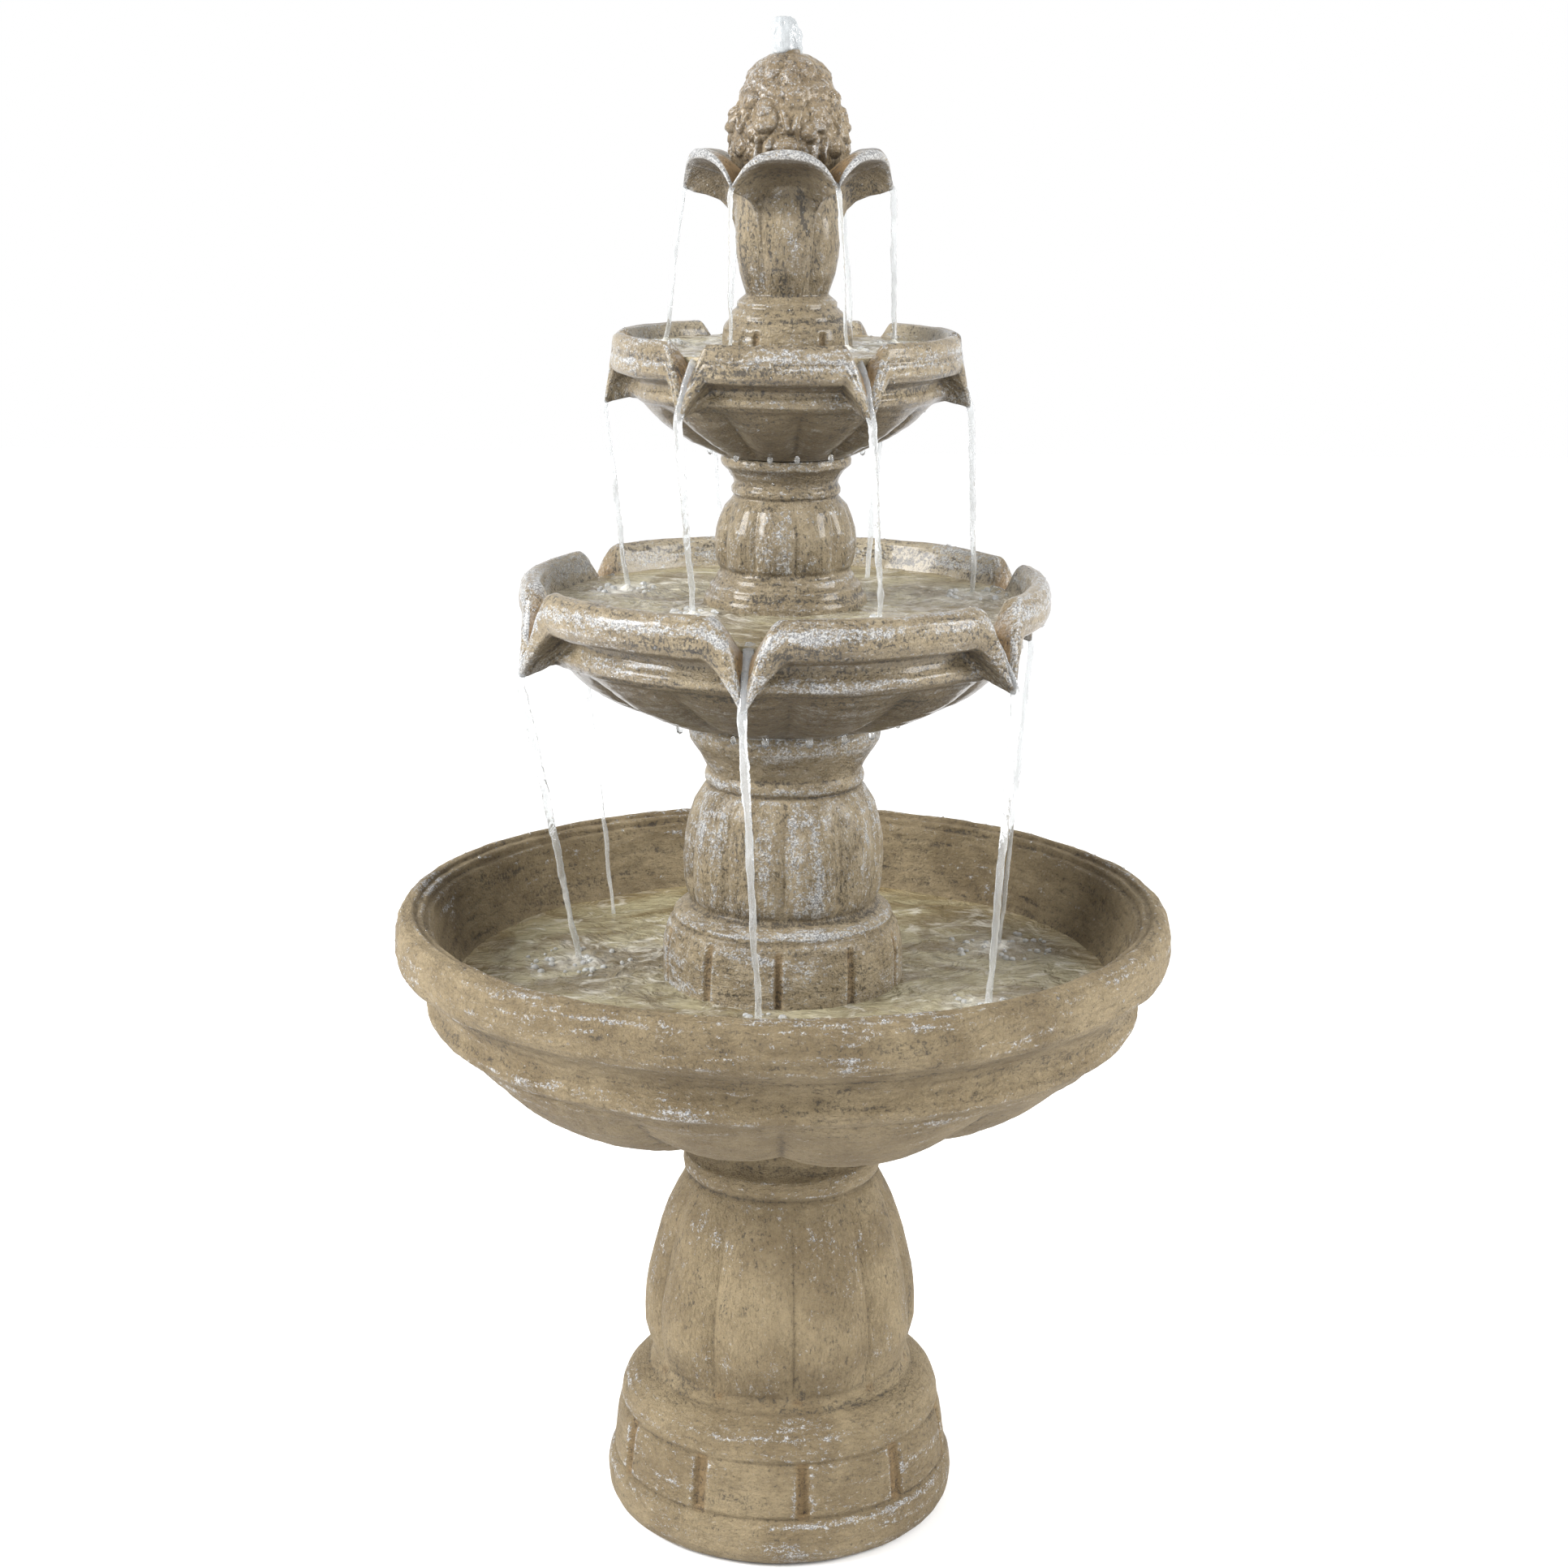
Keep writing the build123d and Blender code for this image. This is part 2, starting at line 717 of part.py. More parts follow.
NOZZLE_RADIUS = HOSE_RADIUS + HOSE_CLEARANCE + NOZZLE_WALL
NOZZLE_LEDGE_Z = FINIAL_Z + 0.78 * FINIAL_HEIGHT
NOZZLE_LEDGE = 4.0


def make_finial():
    """Carved fruit: an egg with rows of raised scales, hollow, with a bore for its nozzle."""
    outline = [(0.94, 0.12), (1, 0.33), (0.94, 0.56), (0.68, 0.82), (0.45, 0.94)]
    egg = turned(
        [
            (FINIAL_FOOT_RADIUS, FINIAL_Z),
            [(FINIAL_RADIUS * w, FINIAL_Z + FINIAL_HEIGHT * h) for w, h in outline]
            + [(NOZZLE_RADIUS + NOZZLE_WALL, TOP_Z)],
        ]
    )
    around = 8
    for row, (w, h) in enumerate([(0.97, 0.16), (0.99, 0.36), (0.93, 0.56), (0.76, 0.74)]):
        for i in range(around):
            angle = 360 * (i + 0.5 * (row % 2)) / around
            place = polar(FINIAL_RADIUS * w - 0.75 * SCALE_RADIUS, angle, FINIAL_Z + FINIAL_HEIGHT * h)
            egg += Pos(*place) * Sphere(SCALE_RADIUS)
    hollow = turned(
        [
            (FINIAL_BORE_RADIUS, FINIAL_Z - 1),
            (FINIAL_RADIUS - FINIAL_WALL, FINIAL_Z + 0.35 * FINIAL_HEIGHT),
            (NOZZLE_RADIUS + NOZZLE_LEDGE + 2, NOZZLE_LEDGE_Z),
            (NOZZLE_RADIUS, NOZZLE_LEDGE_Z),
            (NOZZLE_RADIUS, TOP_Z + 1),
        ]
    )
    return egg - hollow


# ---------------------------------------------------------------- plumbing
PUMP_Z = BASIN_FLOOR_Z + CUP_HEIGHT
PUMP_TOP_Z = PUMP_Z + PUMP_HEIGHT
ADAPTER_FLANGE = 3.0
HOSE_LOW_Z = PUMP_TOP_Z + ADAPTER_FLANGE
HOSE_TOP_Z = NOZZLE_LEDGE_Z - 4.0
CLAMP_WIDTH = 8.0
CLAMP_THICKNESS = 0.8
CLAMP_Z = HOSE_LOW_Z + 4.0
CLAMP_HOUSING = (11.0, 7.0)  # along and across the worm screw
CLAMP_SCREW_Y = -(HOSE_RADIUS + CLAMP_THICKNESS + CLAMP_HOUSING[1] / 2)
CLAMP_SCREW_RADIUS = 2.2


def make_jet_nozzle():
    """Nozzle at the fruit's tip, held by a ledge inside. It slips over the end of the hose."""
    low = HOSE_TOP_Z - NOZZLE_SKIRT
    body = disc(NOZZLE_RADIUS, low, TOP_Z)
    body += disc(NOZZLE_RADIUS + NOZZLE_LEDGE, NOZZLE_LEDGE_Z - 2, NOZZLE_LEDGE_Z)
    body -= disc(HOSE_RADIUS + HOSE_CLEARANCE, low - 1, HOSE_TOP_Z + 1)
    return body - disc(NOZZLE_MOUTH_RADIUS, low - 1, TOP_Z + 1)


def make_delivery_hose():
    """The one hose from the pump's outlet to the nozzle, straight up the stack."""
    return tube(HOSE_RADIUS, HOSE_BORE_RADIUS, HOSE_LOW_Z, HOSE_TOP_Z)


def make_outlet_adapter():
    """Barbed hose tail with a flange, pushed into the pump's outlet."""
    tail = disc(HOSE_BORE_RADIUS, PUMP_TOP_Z - 8, HOSE_LOW_Z + SPIGOT_HEIGHT)
    flange = disc(HOSE_RADIUS + 2, PUMP_TOP_Z, HOSE_LOW_Z)
    return tail + flange - disc(HOSE_BORE_RADIUS - 2, PUMP_TOP_Z - 9, HOSE_LOW_Z + SPIGOT_HEIGHT + 1)


def make_hose_clamp():
    """Worm clip: a thin band round the hose with its screw housing at one side."""
    along, across = CLAMP_HOUSING
    band = tube(HOSE_RADIUS + CLAMP_THICKNESS, HOSE_RADIUS, CLAMP_Z, CLAMP_Z + CLAMP_WIDTH)
    housing = Pos(0, CLAMP_SCREW_Y, CLAMP_Z + CLAMP_WIDTH / 2) * Box(along, across + 2, CLAMP_WIDTH)
    housing -= disc(HOSE_RADIUS, CLAMP_Z - 1, CLAMP_Z + CLAMP_WIDTH + 1)
    return band + housing - clamp_screw_bar(CLAMP_SCREW_RADIUS + RUNNING_CLEARANCE, 2 * along)


def clamp_screw_bar(radius, length):
    """A cylinder along X on the clip screw's axis."""
    return Pos(0, CLAMP_SCREW_Y, CLAMP_Z + CLAMP_WIDTH / 2) * Rot(0, 90, 0) * Cylinder(radius, length)


def make_clamp_screw():
    """The clip's worm screw: a shank through the housing and a slotted head at one end."""
    along = CLAMP_HOUSING[0]
    screw = clamp_screw_bar(CLAMP_SCREW_RADIUS, along + 2)
    head = Pos(along / 2 + 1 + 1.5, 0, 0) * clamp_screw_bar(3.4, 3)
    slot = Pos(along / 2 + 4, CLAMP_SCREW_Y, CLAMP_Z + CLAMP_WIDTH / 2) * Box(2, 8, 1)
    return screw + head - slot


def make_grommet(low, floor):
    """Rubber ring that seals a bowl's centre hole round the hose, with a flange on the floor."""
    bore = HOSE_RADIUS + HOSE_CLEARANCE
    plug = tube(GROMMET_RADIUS, bore, low, low + floor)
    return plug + tube(GROMMET_RADIUS + 3, bore, low + floor, low + floor + 3)


STOPPER_Y = SEAT_RING_RADIUS - SEAT_WALL - STOPPER_RADIUS - 2.0


def make_cord_stopper():
    """Rubber bung in the basin's cord hole, with a bore for the pump's lead. It pulls out upwards."""
    bung = disc(STOPPER_RADIUS, BASIN_Z, BASIN_FLOOR_Z)
    bung += disc(STOPPER_RADIUS + STOPPER_FLANGE, BASIN_FLOOR_Z, BASIN_FLOOR_Z + 4)
    return Pos(0, STOPPER_Y, 0) * (bung - disc(CORD_RADIUS, BASIN_Z - 1, BASIN_FLOOR_Z + 5))


# ---------------------------------------------------------------- pump
# The pump lies along X under the hose, its strainer towards -X and its lead towards +X.
PUMP_AXIS_Z = PUMP_Z + PUMP_HEIGHT / 2
VOLUTE_NEAR = -PUMP_VOLUTE_LENGTH / 2
VOLUTE_FAR = PUMP_VOLUTE_LENGTH / 2
MOTOR_FAR = VOLUTE_FAR + PUMP_MOTOR_LENGTH
COVER_NEAR = VOLUTE_NEAR - PUMP_COVER_LENGTH
ROTOR_FAR = VOLUTE_FAR + ROTOR_LENGTH
SHAFT_NEAR = VOLUTE_NEAR + 1.0
SHAFT_FAR = ROTOR_FAR + 2.0 + BUSH_LENGTH
GLAND_RISE = 14.0
GLAND_DEPTH = 5.0
COVER_REACH = 5.0  # how far the front bush stands into the chamber


def pump_block(inset_by, near, far):
    """A bar along X with rounded long edges, the pump's section less an even margin."""
    face = RectangleRounded(
        PUMP_WIDTH - 2 * inset_by, PUMP_HEIGHT - 2 * inset_by, PUMP_CORNER - inset_by
    )
    return Pos(near, 0, PUMP_AXIS_Z) * extrude(Plane.YZ * face, far - near)


def pump_bar(radius, near, far):
    """A cylinder on the pump's axis, from x = near to x = far."""
    bar = Cylinder(radius, far - near, align=(Align.CENTER, Align.CENTER, Align.MIN))
    return Pos(near, 0, PUMP_AXIS_Z) * Rot(0, 90, 0) * bar


def make_pump_body():
    """Sealed motor block with the well that the magnet rotor turns in."""
    block = pump_block(0, VOLUTE_FAR, MOTOR_FAR)
    block -= pump_bar(ROTOR_RADIUS + 1, VOLUTE_FAR - 1, ROTOR_FAR + 1)
    block -= pump_bar(BUSH_RADIUS, VOLUTE_FAR, SHAFT_FAR)
    return block - Pos(0, 0, GLAND_RISE) * pump_bar(GLAND_RADIUS, MOTOR_FAR - GLAND_DEPTH, MOTOR_FAR + 1)


def make_pump_volute():
    """Impeller chamber with its inlet in front, a bridge for the shaft, and the outlet on top."""
    body = pump_block(0, VOLUTE_NEAR, VOLUTE_FAR)
    body -= pump_bar(CHAMBER_RADIUS, VOLUTE_NEAR + COVER_REACH, VOLUTE_FAR + 1)
    body -= pump_bar(0.6 * CHAMBER_RADIUS, VOLUTE_NEAR - 1, VOLUTE_FAR)
    bridge = Pos(VOLUTE_NEAR + COVER_REACH / 2, 0, PUMP_AXIS_Z)
    body += bridge * Box(COVER_REACH, 1.4 * CHAMBER_RADIUS, 4)
    body += pump_bar(BUSH_RADIUS + 2, VOLUTE_NEAR, VOLUTE_NEAR + COVER_REACH)
    body -= pump_bar(BUSH_RADIUS, SHAFT_NEAR, VOLUTE_NEAR + COVER_REACH + 1)
    return body - disc(HOSE_BORE_RADIUS, PUMP_AXIS_Z + 12, PUMP_TOP_Z + 1)


def make_impeller():
    """Magnet rotor with the blades on its front end, bored for the fixed shaft."""
    rotor = pump_bar(ROTOR_RADIUS, VOLUTE_FAR, ROTOR_FAR)
    rotor += pump_bar(CHAMBER_RADIUS - 4, VOLUTE_FAR - 4, VOLUTE_FAR - 1.5)
    rotor += pump_bar(ROTOR_RADIUS - 3, VOLUTE_FAR - 14, VOLUTE_FAR)
    blade = Pos(VOLUTE_FAR - 9, CHAMBER_RADIUS / 2, 0) * Box(11, CHAMBER_RADIUS - 7, 1.6)
    for i in range(BLADES):
        rotor += Pos(0, 0, PUMP_AXIS_Z) * Rot(360 * i / BLADES, 0, 0) * blade
    return rotor - pump_bar(SHAFT_RADIUS + RUNNING_CLEARANCE, VOLUTE_NEAR, MOTOR_FAR)


def make_impeller_shaft():
    """Ceramic shaft held still in the two bushes."""
    return pump_bar(SHAFT_RADIUS, SHAFT_NEAR, SHAFT_FAR)


def make_shaft_bushes():
    """Two rubber cups that hold the shaft's ends."""
    front = pump_bar(BUSH_RADIUS, SHAFT_NEAR, SHAFT_NEAR + BUSH_LENGTH)
    back = pump_bar(BUSH_RADIUS, SHAFT_FAR - BUSH_LENGTH, SHAFT_FAR)
    shaft = make_impeller_shaft()
    return [front - shaft, back - shaft]


def make_intake_cover():
    """Snap-on strainer: a slotted box open towards the pump, with a hole for the flow dial."""
    cover = pump_block(0, COVER_NEAR, VOLUTE_NEAR)
    cover -= pump_block(PUMP_WALL, COVER_NEAR + PUMP_WALL, VOLUTE_NEAR + 1)
    front_slot = Box(4 * PUMP_WALL, 12, 3)
    for side in (-1, 1):
        for row in range(-2, 3):
            cover -= Pos(COVER_NEAR, 17 * side, PUMP_AXIS_Z + 9 * row) * front_slot
    middle = (COVER_NEAR + VOLUTE_NEAR) / 2
    for place in range(6):
        cover -= Pos(middle, 8 * (place - 2.5), PUMP_TOP_Z) * Box(13, 3, 4 * PUMP_WALL)
    return cover - pump_bar(DIAL_STEM_RADIUS + RUNNING_CLEARANCE, COVER_NEAR - 1, COVER_NEAR + 5)


STEM_FAR = COVER_NEAR + PUMP_WALL + 3.0


def make_filter_sponge():
    """Block of open foam inside the strainer, behind the dial's stem."""
    return pump_block(PUMP_WALL + LOOSE_CLEARANCE, STEM_FAR + 1, VOLUTE_NEAR - 1)


def make_flow_dial():
    """Knurled dial on the strainer's face with a stem behind. It turns to set the flow."""
    dial = pump_bar(DIAL_RADIUS, COVER_NEAR - 4.5, COVER_NEAR - LOOSE_CLEARANCE)
    dial += pump_bar(DIAL_STEM_RADIUS, COVER_NEAR - 1, STEM_FAR)
    notch = Pos(COVER_NEAR - 2.5, DIAL_RADIUS + 0.4, 0) * Box(6, 2, 1.6)
    for i in range(12):
        dial -= Pos(0, 0, PUMP_AXIS_Z) * Rot(30 * i, 0, 0) * notch
    return dial + Pos(COVER_NEAR - 5, 0, PUMP_AXIS_Z) * Box(2, 2.4, 1.4 * DIAL_RADIUS)


def make_suction_cups():
    """Four rubber suckers that hold the pump to the basin's floor."""
    neck = 0.45 * CUP_RADIUS
    floor = BASIN_FLOOR_Z
    cup = turned([(CUP_RADIUS, floor), (CUP_RADIUS - 1, floor + 2), (neck, floor + 5), (neck, PUMP_Z)])
    cup -= turned([(CUP_RADIUS - 2, floor - 0.01), (2, floor + 2.5)])
    y = PUMP_WIDTH / 2 - CUP_RADIUS - 2
    return [
        Pos(x, side * y, 0) * cup
        for x in (VOLUTE_NEAR + 8, MOTOR_FAR - 10)
        for side in (-1, 1)
    ]


def make_cord_gland():
    """Rubber gland where the lead enters the back of the motor block."""
    gland = pump_bar(GLAND_RADIUS, MOTOR_FAR - GLAND_DEPTH, MOTOR_FAR)
    gland += pump_bar(GLAND_RADIUS - 1.5, MOTOR_FAR, MOTOR_FAR + 9)
    return Pos(0, 0, GLAND_RISE) * (gland - pump_bar(CORD_RADIUS, MOTOR_FAR - 3, MOTOR_FAR + 10))


# ---------------------------------------------------------------- write the nodes
def write(node, shape):
    """One STEP file for one node, from a shape or a list of separate solids."""
    solids = shape if isinstance(shape, list) else [shape]
    found = [solid for item in solids for solid in item.solids()]
    export_step(found[0] if len(found) == 1 else Compound(children=found), f"parts/{node}.step")


write("pedestal", make_pedestal())
write("basin", make_basin())
write("lower_column", make_lower_column())
write("middle_bowl", make_middle_bowl())
write("upper_column", make_upper_column())
write("upper_bowl", make_upper_bowl())
write("top_vase", make_top_vase())
write("finial", make_finial())
write("jet_nozzle", make_jet_nozzle())
write("delivery_hose", make_delivery_hose())
write("outlet_adapter", make_outlet_adapter())
write("hose_clamp", make_hose_clamp())
write("clamp_screw", make_clamp_screw())
write("middle_hose_grommet", make_grommet(MIDDLE_BOWL_Z, MIDDLE_BOWL_FLOOR))
write("upper_hose_grommet", make_grommet(UPPER_BOWL_Z, UPPER_BOWL_FLOOR))
write("cord_stopper", make_cord_stopper())
write("pump_body", make_pump_body())
write("pump_volute", make_pump_volute())
write("pump_impeller", make_impeller())
write("impeller_shaft", make_impeller_shaft())
write("shaft_bushes", make_shaft_bushes())
write("pump_intake_cover", make_intake_cover())
write("pump_filter_sponge", make_filter_sponge())
write("pump_flow_dial", make_flow_dial())
write("pump_suction_cups", make_suction_cups())
write("pump_cord_gland", make_cord_gland())
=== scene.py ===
"""The looks of a tiered garden fountain of cast resin stone with running water.

The castings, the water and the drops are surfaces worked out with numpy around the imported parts.
Outlines are in millimetres: a radius from the fountain's axis and a height above the foot of the
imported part. Angles are in degrees, counted from the front (-Y) towards +X.
"""

import math

import bpy
import numpy as np
from mathutils import Matrix


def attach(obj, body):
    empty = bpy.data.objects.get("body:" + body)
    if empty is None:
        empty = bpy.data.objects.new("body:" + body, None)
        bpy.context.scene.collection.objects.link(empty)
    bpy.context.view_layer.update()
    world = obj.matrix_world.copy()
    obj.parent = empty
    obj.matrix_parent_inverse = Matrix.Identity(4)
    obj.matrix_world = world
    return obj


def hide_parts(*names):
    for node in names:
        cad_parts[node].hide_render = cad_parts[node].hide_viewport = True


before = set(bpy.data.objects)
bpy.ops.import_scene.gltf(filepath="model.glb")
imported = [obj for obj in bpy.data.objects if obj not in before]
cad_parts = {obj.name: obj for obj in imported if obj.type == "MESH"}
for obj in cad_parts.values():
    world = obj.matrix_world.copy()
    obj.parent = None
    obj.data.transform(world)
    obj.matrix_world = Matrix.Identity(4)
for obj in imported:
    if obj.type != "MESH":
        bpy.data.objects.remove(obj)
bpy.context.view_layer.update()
MM = 0.001


# ---------------------------------------------------------------- noise
def lattice(i, j, k, seed):
    """A fixed pseudo-random number from 0 to 1 for each whole-number point, by integer hashing."""
    mixed = (i * 374761393 + j * 668265263 + k * 1274126177 + seed * 974711) & 0xFFFFFFFF
    mixed = ((mixed ^ (mixed >> 13)) * 1103515245) & 0xFFFFFFFF
    return ((mixed ^ (mixed >> 16)) & 0xFFFF) / 65535.0


def noise(points, seed):
    """Smooth noise from -1 to 1: each lattice cell's eight corner values blended by smoothsteps."""
    whole = np.floor(points).astype(np.int64)
    part = points - whole
    part = part * part * (3 - 2 * part)
    total = 0.0
    for corner in range(8):
        bits = (corner & 1, corner >> 1 & 1, corner >> 2 & 1)
        weight = 1.0
        for axis, bit in enumerate(bits):
            weight = weight * (part[..., axis] if bit else 1 - part[..., axis])
        i, j, k = (whole[..., axis] + bit for axis, bit in enumerate(bits))
        total = total + weight * lattice(i, j, k, seed)
    return 2 * total - 1


def layered(points, seed, layers=3):
    """Noise summed over layers, each twice as fine and half as strong as the one before."""
    total, strength = 0.0, 0.0
    for layer in range(layers):
        total = total + noise(points * 2**layer, seed + 17 * layer) / 2**layer
        strength += 1 / 2**layer
    return total / strength


# ---------------------------------------------------------------- meshes
def link(name, mesh):
    """A new object at the origin that holds the mesh."""
    piece = bpy.data.objects.new(name, mesh)
    bpy.context.scene.collection.objects.link(piece)
    return piece


def mesh_from(points, faces):
    """A mesh of quads (or triangles) from an array of points and an array of face corners."""
    mesh = bpy.data.meshes.new("mesh")
    mesh.vertices.add(len(points))
    mesh.vertices.foreach_set("co", np.ascontiguousarray(points, dtype=np.float32).ravel())
    count, sides = faces.shape
    mesh.loops.add(count * sides)
    mesh.loops.foreach_set("vertex_index", faces.astype(np.int32).ravel())
    mesh.polygons.add(count)
    mesh.polygons.foreach_set("loop_start", np.arange(0, count * sides, sides, dtype=np.int32))
    mesh.update(calc_edges=True)
    mesh.polygons.foreach_set("use_smooth", np.ones(count, dtype=bool))
    return mesh


def ring_quads(rows, columns, closed=True):
    """Quads between the rows of a grid whose columns go round.

    closed joins the last row to the first.
    """
    index = np.arange(rows * columns).reshape(rows, columns)
    right = np.roll(index, -1, axis=1)
    above = np.roll(index, -1, axis=0)
    quads = np.stack([index, right, np.roll(right, -1, axis=0), above], axis=-1)
    return (quads if closed else quads[:-1]).reshape(-1, 4)


def capped(points):
    """Points and faces of a tube of rings whose two ends are closed by fans, as triangles."""
    rows, columns = points.shape[:2]
    quads = ring_quads(rows, columns, closed=False)
    ends = np.stack([points[0].mean(axis=0), points[-1].mean(axis=0)])
    around = np.arange(columns)
    after = np.roll(around, -1)
    low, high = rows * columns, rows * columns + 1
    last = (rows - 1) * columns
    start_fan = np.stack([np.full(columns, low), after, around], axis=-1)
    end_fan = np.stack([np.full(columns, high), last + around, last + after], axis=-1)
    halves = np.concatenate([quads[:, [0, 1, 2]], quads[:, [0, 2, 3]]])
    everything = np.concatenate([points.reshape(-1, 3), ends])
    return everything, np.concatenate([halves, start_fan, end_fan])


def give(mesh, name, values):
    """Writes one number for each vertex as a named attribute that the materials read."""
    layer = mesh.attributes.new(name, "FLOAT", "POINT")
    layer.data.foreach_set("value", np.ascontiguousarray(values, dtype=np.float32).ravel())


def finish_piece(name, mesh, material, body):
    """Links the mesh as a piece, gives it its material and lets it ride on its body."""
    mesh.materials.append(material)
    piece = link(name, mesh)
    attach(piece, body)
    return piece


# ---------------------------------------------------------------- outlines and patterns
def round_the_corners(corners, rows, spread):
    """Rows of a closed outline, from corners of equal-length tuples whose last entry is a weight.

    The straight runs between the corners are sampled evenly by weighted length, and each sample is
    then averaged with its neighbours under a bell curve of that spread, which rounds the corners.
    """
    fine = 10
    line = np.array([*corners, corners[0]], dtype=float)
    run = np.hypot(*np.diff(line[:, :2], axis=0).T) * line[:-1, -1]
    reach = np.concatenate([[0], np.cumsum(run)])
    at = np.linspace(0, reach[-1], rows * fine, endpoint=False)
    dense = np.stack([np.interp(at, reach, line[:, k]) for k in range(line.shape[1])], axis=1)
    sigma = spread / (reach[-1] / len(at))
    offset = np.arange(-int(3 * sigma) - 1, int(3 * sigma) + 2)
    bell = np.exp(-0.5 * (offset / max(sigma, 0.3)) ** 2)
    bell /= bell.sum()
    smooth = sum(weight * np.roll(dense, -shift, axis=0) for shift, weight in zip(offset, bell))
    return smooth[::fine]


def outline_normals(radius, height):
    """Outward direction, in radius and in height, at each row of an outline that goes up outside."""
    along_r = np.roll(radius, -1) - np.roll(radius, 1)
    along_z = np.roll(height, -1) - np.roll(height, 1)
    length = np.maximum(np.hypot(along_r, along_z), 1e-9)
    return along_z / length, -along_r / length


def path_length(radius, height):
    """Distance along the rows of a grid, from the first row, for each of its points."""
    step = np.hypot(np.diff(radius, axis=0), np.diff(height, axis=0))
    return np.concatenate([np.zeros((1, radius.shape[1])), np.cumsum(step, axis=0)])


def flutes(angle, grooves, sharpness=2.4):
    """1 in the grooves and 0 on the widest lobes: a power of the place across each lobe."""
    edges = np.array(grooves, dtype=float)
    turn = (angle - edges[0]) % 360 + edges[0]
    which = np.clip(np.searchsorted(edges, turn, side="right") - 1, 0, len(edges) - 2)
    wide = edges[which + 1] - edges[which]
    across = 2 * (turn - edges[which]) / wide - 1
    rise = (wide / np.diff(edges).max()) ** 1.5
    return 1 - rise * (1 - np.abs(across) ** sharpness)


def even(count, first):
    """Groove angles of count equal lobes, with the first repeated a turn later."""
    return [first + 360 * i / count for i in range(count + 1)]


def gap_pattern(angle, count, first, half_width, edge):
    """1 within half_width degrees of each of count even angles, falling to 0 over edge degrees."""
    pitch = 360 / count
    off = np.abs((angle - first + pitch / 2) % pitch - pitch / 2)
    return 1 / (1 + np.exp((off - half_width) / edge))


def crowded_angles(columns, count, first, crowding):
    """Angles that stand closer together near each of count even angles, by a cubic spread."""
    each = columns // count
    place = (np.arange(each) + 0.5) / each * 2 - 1
    half = 180 / count
    spread = half * ((1 - crowding) * place + crowding * place**3)
    return np.concatenate([first + 2 * half * i + spread for i in range(count)])


def off_centre(angle, count, first):
    """Signed angle from each direction to the nearest of count even angles."""
    pitch = 360 / count
    return (angle - first + pitch / 2) % pitch - pitch / 2


def on_circle(radius, turn, height, centre=(0, 0)):
    """Points at a radius and a turn in radians from the front, round a centre, at a height."""
    across = centre[0] + radius * np.sin(turn)
    back = centre[1] - radius * np.cos(turn)
    return np.stack(np.broadcast_arrays(across, back, height), axis=-1)


# ---------------------------------------------------------------- castings
def chiselled(points, normal, path, upright, depth, seed):
    """Moves the points along their normals as a carver's tools would.

    Broad waves, then strokes that run round the mouldings or, where upright is 1, up the flutes.
    """
    waves = layered(points * 22, seed, 2)
    round_about = np.stack([points[..., 0] * 38, points[..., 1] * 38, path * 170], axis=-1)
    up_down = points * np.array([190, 190, 26])
    strokes_round = layered(round_about, seed + 5, 2)
    strokes_up = layered(up_down, seed + 9, 2)
    strokes = strokes_round * (1 - upright) + 0.6 * strokes_up * upright
    pits = np.minimum(layered(points * 130, seed + 3, 2), 0)
    move = 0.9 * waves + depth * (strokes + 0.7 * pits)
    return points + normal * (move * MM)[..., None]


def grid_normals(points):
    """Outward normals of a grid whose columns go round and whose rows close on themselves."""
    across = np.roll(points, -1, axis=1) - np.roll(points, 1, axis=1)
    along = np.roll(points, -1, axis=0) - np.roll(points, 1, axis=0)
    normal = np.cross(across, along)
    return normal / np.maximum(np.linalg.norm(normal, axis=-1, keepdims=True), 1e-12)


def relief_of(points, normal, passes, scale):
    """How far each point stands above the average round it, from -1 in a recess to 1 on a ridge."""
    soft = points
    for _ in range(passes):
        soft = (
            2 * soft
            + np.roll(soft, 1, axis=0)
            + np.roll(soft, -1, axis=0)
            + np.roll(soft, 1, axis=1)
            + np.roll(soft, -1, axis=1)
        ) / 6
    proud = ((points - soft) * normal).sum(axis=-1)
    return np.clip(proud / (scale * MM), -1, 1)


surfaces = {}
RELIEF_PASSES = 6
RELIEF_FULL = 1.3


def casting(
    name, body, radius, height, angle, upright, stain, material, depth, seed,
    shift=None, edge=0.0,
):
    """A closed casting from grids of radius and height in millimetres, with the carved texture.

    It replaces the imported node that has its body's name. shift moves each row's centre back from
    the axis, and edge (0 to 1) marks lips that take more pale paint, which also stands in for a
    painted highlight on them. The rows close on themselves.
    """
    path = path_length(radius, height)
    turn = np.radians(angle)
    x = radius * np.sin(turn)
    y = -radius * np.cos(turn)
    if shift is not None:
        y = y + shift
    points = np.stack([x, y, height], axis=-1) * MM
    normal = grid_normals(points)
    upright = np.broadcast_to(upright, radius.shape)
    carved = chiselled(points, normal, path * MM, upright, depth, seed)
    normal = grid_normals(carved)
    mesh = mesh_from(carved.reshape(-1, 3), ring_quads(*radius.shape))
    give(mesh, "relief", relief_of(carved, normal, RELIEF_PASSES, RELIEF_FULL))
    give(mesh, "upright", upright)
    give(mesh, "path", path * MM)
    give(mesh, "stain", np.broadcast_to(stain, radius.shape))
    give(mesh, "edge", np.broadcast_to(edge, radius.shape))
    # shade: how far each face looks down; the stone uses it for painted shade on undersides.
    give(mesh, "shade", np.clip(-normal[..., 2], 0, 1))
    # How far each face looks towards the axis: on wet stone it brings pale paint with a painted
    # reflection to the inner walls.
    inward = -(normal[..., 0] * np.sin(turn) - normal[..., 1] * np.cos(turn))
    give(mesh, "inner_pale_paint_and_reflection", np.clip(1.6 * inward - 0.3, 0, 1))
    surfaces[body] = (carved, normal)
    piece = finish_piece(name, mesh, material, body)
    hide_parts(body)
    return piece


BACK = 180
DOORWAY_HALF = 4.2
LEAD_NOTCH = 19.0


